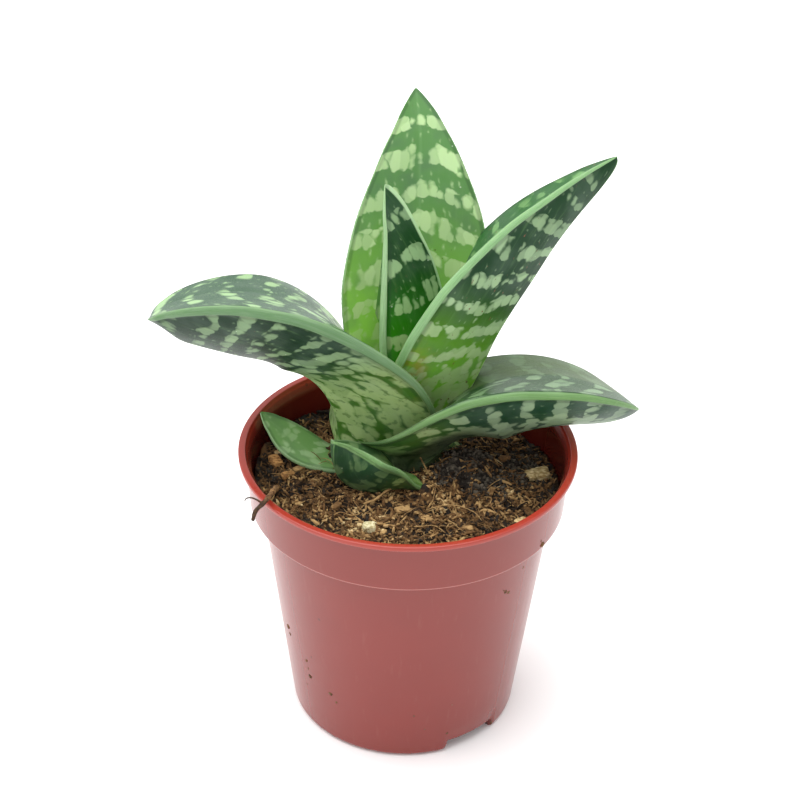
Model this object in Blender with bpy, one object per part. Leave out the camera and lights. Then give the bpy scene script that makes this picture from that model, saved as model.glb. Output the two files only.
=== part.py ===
"""A tiger aloe in its pot.

Seven thick, keeled leaves clasp a short rooted stem. The stem stands in a plain hole in the
potting soil, and the soil fills a tapered plastic pot with a turned-out lip.
Every size below is in millimetres and every angle in degrees; MM turns sizes into metres.
"""

import math
import random
from collections import namedtuple

import bpy
import bmesh
import numpy as np
from mathutils import Matrix, Vector

MM = 0.001

# Clearance between pieces that touch
GAP = 0.3

# Most that a sharp edge of a grown cutter may stand out, as a multiple of the gap
SHELL_LIMIT = 1.8

# Edges that turn by more than this are shaded sharp
SHARP_ANGLE = 40.0

# Points nearer than this are one point (in metres, like the mesh it cleans)
WELD = 0.000001

# Pot: a lip on a near-upright band, a ledge, a tapered body and a low foot ring
POT_HEIGHT = 50.0
LIP_RADIUS = 27.5
LIP_WIDTH = 1.1
LIP_DEPTH = 0.8
LIP_ROUND = 0.25
LIP_FILLET = 0.35
WALL = 0.85
BAND_TOP_RADIUS = 26.3
BAND_BOTTOM_RADIUS = 25.8
LEDGE_HEIGHT = 40.5
LEDGE_ROUND = 0.35
LEDGE_INSIDE = (40.2, 41.5)
BODY_TOP_RADIUS = 23.9
BODY_BOTTOM_RADIUS = 19.1
FOOT_RADIUS = 18.4
FOOT_WIDTH = 0.9
FOOT_ROUND = 1.2
FLOOR_RAISE = 2.0
FLOOR_ROUND = 1.0
POT_SEGMENTS = 56
NOTCH_AZIMUTHS = (-52.0, 128.0)
NOTCH_SPAN = 30.0
NOTCH_LENGTH = 8.0
NOTCH_SLANT = 0.4
DRAIN_HOLES = 4
DRAIN_HOLE_RADIUS = 2.2
DRAIN_HOLE_SIDES = 20
DRAIN_CIRCLE_RADIUS = 11.0

# Soil surface: a tilted plane with a mound at the plant and crumbs all over
SOIL_LEVEL = 44.2
SOIL_TILT = (-0.045, -0.06)
SOIL_MOUND = 1.2
SOIL_MOUND_RADIUS = 9.0
SOIL_RINGS = 12
SOIL_CRUMBS = 150
SOIL_CRUMB_SPREAD = 24.5
SOIL_CRUMB_RADIUS = (1.3, 2.7)
SOIL_CRUMB_RISE = (-0.55, 0.75)
SOIL_SEED = 7

# Stem and roots
STEM_CENTRE = (0.5, 6.5)
STEM_RADIUS = 3.6
STEM_TOP = 49.0
STEM_BOTTOM = 36.0
STEM_STEPS = 8
STEM_SIDES = 16
ROOTS = 5
ROOT_START = (1.2, 38.5)
ROOT_RADIUS = 1.1
ROOT_TIP_RADIUS = 0.45
ROOT_REACH = (8.0, 12.0)
ROOT_DROP = (17.0, 24.0)
ROOT_WAVE = 2.5
ROOT_STEPS = 9
ROOT_SIDES = 7
ROOT_SEED = 3

# Leaf meshing
LEAF_STEPS = 27
SMALL_LEAF_STEPS = 16
FACE_STEPS = 4
CREASE_SOFTNESS = 1.2
OUTER_BULGE = 0.07
TIP_FULLNESS = 2.5
DEPTH_GROWS_OVER = 0.35
EDGE_GROWS_OVER = 0.3

# Leaf base: it leans down from the foot into the soil and narrows to this share
BASE_LENGTH = 4.5
BASE_DIP = 0.8
BASE_SHARE = 0.7

Leaf = namedtuple("Leaf", (
    "name",         # node name
    "steps",        # sections along the leaf
    "spine",        # four Bezier points of the crease: azimuth, radius, height round the stem
    "face",         # azimuth and elevation towards which the inner face looks
    "twist",        # turn of the face from foot to tip
    "half_width",   # greatest half width
    "foot_share",   # half width at the foot as a share of the greatest
    "widest",       # where along the leaf it is widest
    "fullness",     # how full the outline stays towards the tip
    "fold",         # rise of each half of the inner face, along most of the leaf
    "foot_fold",    # the same where the foot clasps the stem
    "clasp",        # length of the clasping foot as a share of the leaf
    "depth",        # crease to keel
    "foot_depth",   # depth at the foot as a share of the greatest
    "edge",         # thickness of the horny margin
))

# The outermost leaf comes first: each later leaf is trimmed to the ones before it
LEAVES = (
    Leaf("leaf_small_front", SMALL_LEAF_STEPS,
         ((-86, 9.3, 46.2), (-118, 13.8, 48.9), (-133, 15.1, 49.8), (-127, 19.8, 56.8)),
         (63, 70), -1, 5.7, 0.74, 0.44, 1.8, 24, -8, 0.15, 4.5, 0.47, 1.0),
    Leaf("leaf_small_left", SMALL_LEAF_STEPS,
         ((-178, 5.4, 44.0), (-158, 14.6, 43.8), (-179, 19.4, 45.7), (179, 24.9, 51.4)),
         (16, 76), -31, 4.8, 0.71, 0.50, 2.0, 3, 14, 0.21, 2.6, 0.50, 0.9),
    Leaf("leaf_lower_right", LEAF_STEPS,
         ((-68, 3.9, 46.2), (-1, 6.3, 64.9), (-1, 29.8, 62.4), (-2, 37.0, 54.6)),
         (52, 69), -12, 11.2, 0.95, 0.59, 2.1, 0, 18, 0.38, 10.2, 0.28, 1.7),
    Leaf("leaf_left", LEAF_STEPS,
         ((-177, 8.6, 48.1), (142, 5.8, 81.3), (-177, 39.7, 76.0), (-175, 42.1, 71.0)),
         (47, 63), -5, 13.3, 1.00, 0.37, 1.9, 2, 33, 0.19, 11.0, 0.47, 1.9),
    Leaf("leaf_upper_right", LEAF_STEPS,
         ((42, 4.1, 46.0), (54, 2.8, 65.1), (17, 13.0, 85.8), (17, 32.7, 94.7)),
         (160, 35), 17, 11.8, 0.70, 0.50, 1.15, 21, 46, 0.23, 7.4, 0.62, 1.5),
    Leaf("leaf_back", LEAF_STEPS,
         ((96, 4.6, 46.2), (89, 7.8, 62.1), (84, 16.5, 84.9), (91, 28.0, 97.5)),
         (-87, 25), 1, 12.3, 0.62, 0.41, 1.65, 9, 37, 0.24, 6.0, 0.50, 1.5),
    Leaf("leaf_centre", LEAF_STEPS,
         ((108, 3.2, 47.1), (68, 5.3, 64.4), (68, 4.0, 72.3), (139, 6.6, 91.6)),
         (-177, 0), -16, 8.4, 0.65, 0.39, 1.85, 53, 55, 0.23, 5.2, 0.50, 1.4),
)

# Loose pieces on the soil: name, place from the pot's axis, length, width, height, turn
CHIPS = (
    ("bark_chip_right", (21.4, 1.7), (4.2, 2.6, 1.6), 25),
    ("bark_chip_left_1", (-21.6, 1.6), (3.0, 1.8, 1.1), -60),
    ("bark_chip_left_2", (-19.3, -2.6), (2.4, 1.5, 1.0), 35),
    ("perlite_crumb", (-5.4, -16.3), (1.9, 1.7, 1.4), 0),
)
CHIP_STANDS = 0.2
CHIP_SQUARENESS = 0.6
CHIP_ROUGHNESS = 0.06
CHIP_SEED = 11

# The twig's route over the lip, as points from the pot's axis
TWIG_ROUTE = (
    (-20.9, -5.6, 46.8),
    (-21.0, -9.5, 49.6),
    (-21.4, -14.5, 51.2),
    (-22.4, -18.0, 51.3),
    (-23.4, -19.3, 49.6),
    (-23.6, -19.6, 47.6),
)
TWIG_RADIUS = 0.5
TWIG_TIP_RADIUS = 0.25
TWIG_STEPS = 19
TWIG_SIDES = 8

# Colours as linear red, green, blue, then roughness
FINISHES = {
    "pot": ((0.34, 0.080, 0.060), 0.32),
    "soil": ((0.075, 0.042, 0.018), 0.95),
    "stem": ((0.28, 0.26, 0.10), 0.70),
    "leaf": ((0.070, 0.150, 0.060), 0.38),
    "bark": ((0.42, 0.30, 0.16), 0.85),
    "perlite": ((0.72, 0.66, 0.50), 0.90),
    "twig": ((0.080, 0.045, 0.025), 0.85),
}


def smoothstep(values):
    """Ease from 0 to 1."""
    values = np.clip(values, 0.0, 1.0)
    return values * values * (3.0 - 2.0 * values)


def unit(vectors):
    """Vectors scaled to length 1."""
    return vectors / np.linalg.norm(vectors, axis=-1, keepdims=True)


def finish(name):
    """The named material."""
    colour, roughness = FINISHES[name]
    material = bpy.data.materials.get(name) or bpy.data.materials.new(name)
    material.use_nodes = True
    shader = material.node_tree.nodes["Principled BSDF"]
    shader.inputs["Base Color"].default_value = (*colour, 1.0)
    shader.inputs["Roughness"].default_value = roughness
    shader.inputs["Metallic"].default_value = 0.0
    return material


def add_object(name, vertices, faces, finish_name):
    """An object from points in millimetres, shaded smooth."""
    mesh = bpy.data.meshes.new(name)
    mesh.from_pydata([Vector(point) * MM for point in vertices], [], faces)
    thing = bpy.data.objects.new(name, mesh)
    bpy.context.scene.collection.objects.link(thing)
    mesh.materials.append(finish(finish_name))
    mesh.shade_smooth()
    tidy_faces(thing)
    return thing


def tidy_faces(thing):
    """Keep the largest closed body of an object, weld stray points and turn faces outward."""
    work = bmesh.new()
    work.from_mesh(thing.data)
    bmesh.ops.remove_doubles(work, verts=work.verts, dist=WELD)
    bmesh.ops.dissolve_degenerate(work, edges=work.edges, dist=WELD)
    islands = []
    unseen = set(work.verts)
    while unseen:
        island = [unseen.pop()]
        for vertex in island:
            for edge in vertex.link_edges:
                other = edge.other_vert(vertex)
                if other in unseen:
                    unseen.remove(other)
                    island.append(other)
        islands.append(island)
    islands.sort(key=len, reverse=True)
    scraps = [vertex for island in islands[1:] for vertex in island]
    bmesh.ops.delete(work, geom=scraps, context="VERTS")
    if work.calc_volume(signed=True) < 0.0:
        bmesh.ops.reverse_faces(work, faces=work.faces)
    work.to_mesh(thing.data)
    work.free()
    thing.data.set_sharp_from_angle(angle=math.radians(SHARP_ANGLE))


def apply_boolean(thing, operation, **operand):
    """Run one Boolean on an object and keep its result as the object's mesh."""
    modifier = thing.modifiers.new(operation.title(), "BOOLEAN")
    modifier.operation = operation
    modifier.solver = "EXACT"
    for setting, value in operand.items():
        setattr(modifier, setting, value)
    graph = bpy.context.evaluated_depsgraph_get()
    result = bpy.data.meshes.new_from_object(thing.evaluated_get(graph))
    thing.modifiers.clear()
    thing.data = result


def boxes_meet(first, second):
    """Whether two objects' bounding boxes overlap."""
    corners = [np.array([list(corner) for corner in thing.bound_box]) for thing in (first, second)]
    low = np.maximum(corners[0].min(0), corners[1].min(0))
    high = np.minimum(corners[0].max(0), corners[1].max(0))
    return bool(np.all(low < high))


def guide(name, mesh):
    """A cutter object, which isn't part of the model."""
    thing = bpy.data.objects.new(name, mesh)
    thing.hide_render = True
    thing.display_type = "WIRE"
    bpy.context.scene.collection.objects.link(thing)
    return thing


def grown(thing, gap=GAP):
    """A cutter: a copy of an object, fatter by the gap all over."""
    work = bmesh.new()
    work.from_mesh(thing.data)
    work.normal_update()
    moved = [
        (vertex, vertex.co + vertex.normal * gap * MM * min(vertex.calc_shell_factor(), SHELL_LIMIT))
        for vertex in work.verts
    ]
    for vertex, place in moved:
        vertex.co = place
    mesh = bpy.data.meshes.new(thing.name + "_grown")
    work.to_mesh(mesh)
    work.free()
    return guide(mesh.name, mesh)


def clear_away(thing, cutters):
    """Cut an object back by each cutter that reaches it."""
    for cutter in cutters:
        bpy.context.view_layer.update()
        if boxes_meet(thing, cutter):
            apply_boolean(thing, "DIFFERENCE", object=cutter)
    tidy_faces(thing)


def fuse(name, things):
    """Join overlapping objects into one body."""
    group = bpy.data.collections.new(name + "_parts")
    bpy.context.scene.collection.children.link(group)
    for thing in things[1:]:
        group.objects.link(thing)
    apply_boolean(things[0], "UNION", operand_type="COLLECTION", collection=group)
    for thing in things[1:]:
        bpy.data.objects.remove(thing)
    bpy.data.collections.remove(group)
    things[0].name = name
    tidy_faces(things[0])
    return things[0]


def ringed(name, rings, poles, finish_name):
    """A body from an array of rings of points, closed by a fan of triangles at each pole."""
    count, around = rings.shape[:2]
    vertices = list(rings.reshape(-1, 3)) + list(poles)
    last = (count - 1) * around
    faces = []
    for step in range(around):
        along = (step + 1) % around
        for here in range(0, last, around):
            beyond = here + around
            faces.append((here + step, beyond + step, beyond + along))
            faces.append((here + step, beyond + along, here + along))
        faces.append((step, along, last + around))
        faces.append((last + along, last + step, last + around + 1))
    return add_object(name, vertices, faces, finish_name)


def turned_rings(profile):
    """Rings of points round the pot's axis, one for each radius and height of a profile."""
    profile = np.array(profile)
    angles = np.linspace(0.0, 2.0 * math.pi, POT_SEGMENTS, endpoint=False)
    radius, angle = np.meshgrid(profile[:, 0], angles, indexing="ij")
    height = np.repeat(profile[:, 1:], POT_SEGMENTS, axis=1)
    return np.stack((radius * np.cos(angle), radius * np.sin(angle), height), axis=2)


def body_radius(height):
    """Outer radius of the pot's tapered body."""
    share = (height - FOOT_ROUND) / (LEDGE_HEIGHT - FOOT_ROUND)
    return BODY_BOTTOM_RADIUS + (BODY_TOP_RADIUS - BODY_BOTTOM_RADIUS) * share


def band_radius(height):
    """Outer radius of the band between ledge and lip."""
    share = (height - LEDGE_HEIGHT) / (POT_HEIGHT - LIP_DEPTH - LEDGE_HEIGHT)
    return BAND_BOTTOM_RADIUS + (BAND_TOP_RADIUS - BAND_BOTTOM_RADIUS) * share


def pot_profile():
    """The pot's outline from the floor's underside, up the outside, down the inside to its floor."""
    top = POT_HEIGHT
    under = POT_HEIGHT - LIP_DEPTH
    foot_inner = FOOT_RADIUS - FOOT_WIDTH
    lip_inner = LIP_RADIUS - LIP_WIDTH
    floor = FLOOR_RAISE + WALL
    outline = [(foot_inner - GAP, FLOOR_RAISE), (foot_inner, 0.0), (FOOT_RADIUS, 0.0)]
    outline += [(FOOT_RADIUS + 0.65 * (BODY_BOTTOM_RADIUS - FOOT_RADIUS), 0.2 * FOOT_ROUND)]
    outline += [(BODY_BOTTOM_RADIUS, FOOT_ROUND), (BODY_TOP_RADIUS, LEDGE_HEIGHT)]
    outline += [(BAND_BOTTOM_RADIUS - LEDGE_ROUND, LEDGE_HEIGHT)]
    outline += [(BAND_BOTTOM_RADIUS, LEDGE_HEIGHT + LEDGE_ROUND)]
    outline += [(BAND_TOP_RADIUS, under - 2.5 * LIP_FILLET)]
    outline += [(BAND_TOP_RADIUS + LIP_FILLET, under - LIP_FILLET)]
    outline += [(LIP_RADIUS - LIP_ROUND, under), (LIP_RADIUS, under + LIP_ROUND)]
    outline += [(LIP_RADIUS, top - LIP_ROUND), (LIP_RADIUS - LIP_ROUND, top)]
    outline += [(lip_inner + LIP_ROUND, top), (lip_inner, top - LIP_ROUND)]
    outline += [(BAND_TOP_RADIUS - WALL, under - 3.0 * LIP_FILLET)]
    outline += [(BAND_BOTTOM_RADIUS - WALL, LEDGE_INSIDE[1]), (BODY_TOP_RADIUS - WALL, LEDGE_INSIDE[0])]
    outline += [(body_radius(floor + FLOOR_ROUND) - WALL, floor + FLOOR_ROUND)]
    outline += [(body_radius(floor) - WALL - FLOOR_ROUND, floor)]
    return outline


def notch_cutter(azimuth):
    """A block with slanted ends that opens the foot ring for drainage."""
    width = 2.0 * FOOT_RADIUS * math.sin(math.radians(NOTCH_SPAN / 2.0))
    work = bmesh.new()
    bmesh.ops.create_cube(work, size=1.0)
    for vertex in work.verts:
        low = vertex.co.z < 0.0
        vertex.co.x = FOOT_RADIUS + vertex.co.x * NOTCH_LENGTH
        vertex.co.y *= width + (2.0 * NOTCH_SLANT if low else 0.0)
        vertex.co.z = -FLOOR_RAISE if low else 0.95 * FLOOR_RAISE
    bmesh.ops.rotate(work, verts=work.verts, matrix=Matrix.Rotation(math.radians(azimuth), 3, "Z"))
    bmesh.ops.scale(work, vec=(MM, MM, MM), verts=work.verts)
    mesh = bpy.data.meshes.new("notch")
    work.to_mesh(mesh)
    work.free()
    return guide("notch", mesh)


def drain_cutter(azimuth):
    """A plug that drills one drain hole through the pot's floor."""
    work = bmesh.new()
    angle = math.radians(azimuth)
    place = Vector((math.cos(angle), math.sin(angle), 0.0)) * DRAIN_CIRCLE_RADIUS
    place.z = FLOOR_RAISE + WALL / 2.0
    bmesh.ops.create_cone(
        work, cap_ends=True, segments=DRAIN_HOLE_SIDES, depth=3.0 * WALL,
        radius1=DRAIN_HOLE_RADIUS, radius2=DRAIN_HOLE_RADIUS, matrix=Matrix.Translation(place))
    bmesh.ops.scale(work, vec=(MM, MM, MM), verts=work.verts)
    mesh = bpy.data.meshes.new("drain")
    work.to_mesh(mesh)
    work.free()
    return guide("drain", mesh)


def make_pot():
    """The thin-walled pot, with notches in its foot ring and holes in its floor."""
    poles = ((0.0, 0.0, FLOOR_RAISE), (0.0, 0.0, FLOOR_RAISE + WALL))
    pot = ringed("pot", turned_rings(pot_profile()), poles, "pot")
    cutters = [notch_cutter(azimuth) for azimuth in NOTCH_AZIMUTHS]
    cutters += [drain_cutter(45.0 + 360.0 * hole / DRAIN_HOLES) for hole in range(DRAIN_HOLES)]
    for cutter in cutters:
        apply_boolean(pot, "DIFFERENCE", object=cutter)
        bpy.data.objects.remove(cutter)
    tidy_faces(pot)
    return pot


def soil_height(x, y):
    """Height of the soil's surface: a tilted plane, the mound at the plant, and crumbs.

    Each crumb is a rise or dent of (1 - (distance / radius) squared) squared.
    """
    x = np.asarray(x, dtype=float)
    y = np.asarray(y, dtype=float)
    away = ((x - STEM_CENTRE[0]) ** 2 + (y - STEM_CENTRE[1]) ** 2) / (2.0 * SOIL_MOUND_RADIUS ** 2)
    height = SOIL_LEVEL + SOIL_TILT[0] * x + SOIL_TILT[1] * y + SOIL_MOUND * np.exp(-away)
    draw = np.random.default_rng(SOIL_SEED)
    spread = SOIL_CRUMB_SPREAD * np.sqrt(draw.random(SOIL_CRUMBS))
    angle = draw.uniform(0.0, 2.0 * math.pi, SOIL_CRUMBS)
    radius = draw.uniform(*SOIL_CRUMB_RADIUS, SOIL_CRUMBS)
    rise = draw.uniform(*SOIL_CRUMB_RISE, SOIL_CRUMBS)
    from_x = x[..., None] - spread * np.cos(angle)
    from_y = y[..., None] - spread * np.sin(angle)
    near = np.clip(1.0 - (from_x ** 2 + from_y ** 2) / radius ** 2, 0.0, 1.0)
    return height + (rise * near ** 2).sum(-1)


def make_soil():
    """The body of soil: its crumbly surface, and sides that follow the pot's wall."""
    edge = band_radius(SOIL_LEVEL) - WALL - GAP
    floor = FLOOR_RAISE + WALL + GAP
    top = turned_rings([(edge * ring / SOIL_RINGS, 0.0) for ring in range(1, SOIL_RINGS + 1)])
    top[:, :, 2] = soil_height(top[:, :, 0], top[:, :, 1])
    sides = turned_rings([
        (BAND_BOTTOM_RADIUS - WALL - GAP, LEDGE_INSIDE[1] + GAP),
        (BODY_TOP_RADIUS - WALL - GAP, LEDGE_INSIDE[0] + GAP),
        (body_radius(floor + FLOOR_ROUND) - WALL - GAP, floor + FLOOR_ROUND),
        (body_radius(floor) - WALL - GAP - FLOOR_ROUND, floor),
    ])
    poles = ((0.0, 0.0, float(soil_height(0.0, 0.0))), (0.0, 0.0, floor))
    return ringed("soil", np.concatenate((top, sides)), poles, "soil")


def tube(name, route, radii, sides, finish_name):
    """A round body along a route, with a radius at each of its points."""
    route = np.array(route, dtype=float)
    ahead = unit(np.gradient(route, axis=0))
    across = unit(np.cross(ahead, (0.31, 0.17, 0.93)))
    above = np.cross(across, ahead)
    angles = np.linspace(0.0, 2.0 * math.pi, sides, endpoint=False)
    vertices = []
    for point, side, up, radius in zip(route, across, above, radii):
        vertices += [point + radius * (side * math.cos(a) + up * math.sin(a)) for a in angles]
    faces = []
    for ring in range(len(route) - 1):
        for step in range(sides):
            here = ring * sides + step
            along = ring * sides + (step + 1) % sides
            faces.append((here, along, along + sides, here + sides))
    faces.append(tuple(range(sides))[::-1])
    faces.append(tuple(range(len(vertices) - sides, len(vertices))))
    return add_object(name, vertices, faces, finish_name)


def make_stem(name, grow=0.0):
    """The short stem and its main roots, fused, and fatter by the given growth."""
    shares = np.linspace(0.0, 1.0, STEM_STEPS)
    heights = STEM_BOTTOM - grow + (STEM_TOP - STEM_BOTTOM + 2.0 * grow) * shares
    barrel = np.sqrt(np.clip(1.0 - (shares - 0.45) ** 2 / 0.42, 0.15, 1.0))
    route = [(STEM_CENTRE[0], STEM_CENTRE[1], height) for height in heights]
    parts = [tube(name, route, grow + STEM_RADIUS * barrel, STEM_SIDES, "stem")]
    draw = random.Random(ROOT_SEED)
    for root in range(ROOTS):
        angle = 2.0 * math.pi * (root + draw.uniform(-0.2, 0.2)) / ROOTS
        reach = draw.uniform(*ROOT_REACH)
        drop = draw.uniform(*ROOT_DROP)
        wave = draw.uniform(-ROOT_WAVE, ROOT_WAVE)
        shares = np.linspace(0.0, 1.0 + grow / drop, ROOT_STEPS)
        out = ROOT_START[0] + reach * shares ** 0.8
        side = wave * np.sin(1.5 * math.pi * shares)
        x = STEM_CENTRE[0] * (1.0 - shares) + out * math.cos(angle) - side * math.sin(angle)
        y = STEM_CENTRE[1] * (1.0 - shares) + out * math.sin(angle) + side * math.cos(angle)
        route = np.stack((x, y, ROOT_START[1] - drop * shares), axis=1)
        radii = grow + np.linspace(ROOT_RADIUS, ROOT_TIP_RADIUS, ROOT_STEPS)
        parts.append(tube("root", route, radii, ROOT_SIDES, "stem"))
    return fuse(name, parts)


def spine_points(leaf):
    """The four Bezier points of a leaf's crease."""
    points = []
    for azimuth, radius, height in leaf.spine:
        angle = math.radians(azimuth)
        x = STEM_CENTRE[0] + radius * math.cos(angle)
        y = STEM_CENTRE[1] + radius * math.sin(angle)
        points.append((x, y, height))
    return np.array(points)


def leaf_frame(leaf, t):
    """Points along the crease, with the directions across it and out of the inner face."""
    p0, p1, p2, p3 = spine_points(leaf)
    t = t[:, None]
    crease = (1 - t) ** 3 * p0 + 3 * (1 - t) ** 2 * t * p1 + 3 * (1 - t) * t ** 2 * p2 + t ** 3 * p3
    ahead = unit((1 - t) ** 2 * (p1 - p0) + 2 * (1 - t) * t * (p2 - p1) + t ** 2 * (p3 - p2))
    azimuth, elevation = (math.radians(angle) for angle in leaf.face)
    looks = np.array([
        math.cos(azimuth) * math.cos(elevation),
        math.sin(azimuth) * math.cos(elevation),
        math.sin(elevation),
    ])
    out = unit(looks - (ahead @ looks)[:, None] * ahead)
    across = np.cross(ahead, out)
    turn = math.radians(leaf.twist) * (t - 0.5)
    out = np.cos(turn) * out + np.sin(turn) * across
    return crease, np.cross(ahead, out), out


def leaf_outline(leaf, t):
    """Half width, fold, depth and edge thickness at each place along the leaf."""
    rise = leaf.foot_share + (1.0 - leaf.foot_share) * np.sin(math.pi / 2.0 * np.clip(t / leaf.widest, 0, 1))
    beyond = np.clip((t - leaf.widest) / (1.0 - leaf.widest), 0.0, 1.0)
    half_width = leaf.half_width * np.where(t < leaf.widest, rise, 1.0 - beyond ** leaf.fullness)
    clasping = np.exp(-(t / leaf.clasp) ** 2)
    fold = np.radians(leaf.fold + (leaf.foot_fold - leaf.fold) * clasping)
    taper = np.sqrt(np.clip(1.0 - t ** TIP_FULLNESS, 0.0, 1.0))
    deepening = smoothstep(t / DEPTH_GROWS_OVER)
    depth = leaf.depth * (leaf.foot_depth + (1.0 - leaf.foot_depth) * deepening) * taper
    edge = leaf.edge * (0.6 + 0.4 * smoothstep(t / EDGE_GROWS_OVER)) * taper
    return half_width, fold, depth, edge


def leaf_section(half_width, fold, depth, edge):
    """Points round one section, as distances across the leaf and out of its inner face."""
    share = np.linspace(-1.0, 1.0, 2 * FACE_STEPS + 1)
    side = half_width * math.cos(fold)
    lift = half_width * math.sin(fold)
    inner = [(side * u, lift * abs(u) ** CREASE_SOFTNESS) for u in share]
    slant = math.hypot(side, lift - edge + depth)
    low = np.array((0.0, -depth))
    outer = []
    for u in share[::-1]:
        rim = np.array((math.copysign(side, u), lift - edge))
        straight = low + (rim - low) * abs(u)
        away = np.array((rim[1] - low[1], -(rim[0] - low[0])))
        away = away / max(np.linalg.norm(away), 1e-9) * (1.0 if u > 0 else -1.0)
        outer.append(tuple(straight + away * OUTER_BULGE * slant * 4.0 * abs(u) * (1.0 - abs(u))))
    bead = 0.25 * edge
    right = (side + bead, lift - 0.5 * edge)
    left = (-side - bead, lift - 0.5 * edge)
    return inner + [right] + outer + [left]


def make_leaf(leaf):
    """One keeled leaf: sections along its crease, closed by a point and by the flat end of its base."""
    t = np.linspace(0.0, 1.0, leaf.steps + 1)
    t = t + 0.05 * np.sin(2.0 * math.pi * t) / math.pi
    crease, across, out = leaf_frame(leaf, t)
    outline = np.stack(leaf_outline(leaf, t), axis=1)
    rings = []
    for place in range(leaf.steps):
        section = np.array(leaf_section(*outline[place]))
        rings.append(crease[place] + section @ np.array((across[place], out[place])))
    back = unit(np.cross(across[0], out[0]) - (0.0, 0.0, BASE_DIP))
    base = crease[0] + BASE_LENGTH * back + BASE_SHARE * (rings[0] - crease[0])
    rings.insert(0, base)
    vertices = list(np.concatenate(rings))
    tip = len(vertices)
    vertices.append(crease[-1])
    around = 4 * FACE_STEPS + 4
    faces = []
    for place in range(leaf.steps):
        for step in range(around):
            here = place * around + step
            along = place * around + (step + 1) % around
            faces.append((here, along, along + around))
            faces.append((here, along + around, here + around))
    last = leaf.steps * around
    faces += [(last + step, last + (step + 1) % around, tip) for step in range(around)]
    top = 2 * FACE_STEPS
    for step in range(top):
        faces.append((step + 1, step, around - 2 - step, around - 3 - step))
    faces.append((top, top + 2, top + 1))
    faces.append((0, around - 1, around - 2))
    return add_object(leaf.name, vertices, faces, "leaf")


def make_chip(name, place, size, turn):
    """A rough pebble or chip, half sunk in the soil."""
    draw = random.Random(CHIP_SEED + sum(map(ord, name)))
    work = bmesh.new()
    bmesh.ops.create_icosphere(work, subdivisions=2, radius=0.5)
    for vertex in work.verts:
        squared = [math.copysign(abs(c * 2.0) ** CHIP_SQUARENESS, c) / 2.0 for c in vertex.co]
        rough = 1.0 + draw.uniform(-CHIP_ROUGHNESS, CHIP_ROUGHNESS)
        vertex.co = Vector([squared[axis] * size[axis] * rough for axis in range(3)])
    bmesh.ops.rotate(work, verts=work.verts, matrix=Matrix.Rotation(math.radians(turn), 3, "Z"))
    height = float(soil_height(*place)) + size[2] * CHIP_STANDS
    bmesh.ops.translate(work, verts=work.verts, vec=(*place, height))
    vertices = [tuple(vertex.co) for vertex in work.verts]
    faces = [[vertex.index for vertex in face.verts] for face in work.faces]
    work.free()
    return add_object(name, vertices, faces, "perlite" if "perlite" in name else "bark")


def make_twig():
    """The bent, tapering twig over the lip."""
    points = np.array(TWIG_ROUTE)
    places = np.linspace(0.0, len(points) - 1.0, TWIG_STEPS)
    route = []
    for place in places:
        index = min(int(place), len(points) - 2)
        share = place - index
        before = points[max(index - 1, 0)]
        after = points[min(index + 2, len(points) - 1)]
        start, end = points[index], points[index + 1]
        route.append(0.5 * (
            2.0 * start + (end - before) * share
            + (2.0 * before - 5.0 * start + 4.0 * end - after) * share ** 2
            + (3.0 * start - before - 3.0 * end + after) * share ** 3))
    radii = np.linspace(TWIG_RADIUS, TWIG_TIP_RADIUS, len(route))
    return tube("twig", route, radii, TWIG_SIDES, "twig")


def centre_on_box(things):
    """Stand the model on Z = 0 with the middle of its box over the origin, under one empty."""
    bpy.context.view_layer.update()
    corners = np.array([list(vertex.co) for thing in things for vertex in thing.data.vertices])
    middle = (corners.min(0) + corners.max(0)) / 2.0
    holder = bpy.data.objects.new("potted_aloe", None)
    bpy.context.scene.collection.objects.link(holder)
    for thing in things:
        thing.parent = holder
    holder.location = (-middle[0], -middle[1], -corners.min(0)[2])
    return holder


def main():
    """Model the plant from the stem out, then the soil and pot round it."""
    for thing in list(bpy.data.objects):
        bpy.data.objects.remove(thing)
    pot = make_pot()
    stem = make_stem("stem")
    leaves = [make_leaf(leaf) for leaf in LEAVES]
    chips = [make_chip(*chip) for chip in CHIPS]
    twig = make_twig()
    soil = make_soil()

    stem_cutter = make_stem("stem_cutter", GAP)
    leaf_cutters = [grown(leaf) for leaf in leaves]
    loose_cutters = [grown(thing) for thing in chips + [twig]]
    for index, leaf in enumerate(leaves):
        clear_away(leaf, [stem_cutter] + leaf_cutters[:index])
    clear_away(soil, [stem_cutter] + leaf_cutters + loose_cutters)
    for cutter in [stem_cutter] + leaf_cutters + loose_cutters:
        bpy.data.objects.remove(cutter)

    centre_on_box([pot, soil, stem, twig] + leaves + chips)


main()
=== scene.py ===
"""The looks of a potted tiger aloe, laid out as an add-on and run as a script.

Every size is in millimetres and every angle in degrees, unless a property says otherwise.
Places are counted from the point under the pot's axis on the surface that the pot stands on;
add_object() turns them into metres in the frame's own axes.
"""

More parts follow.
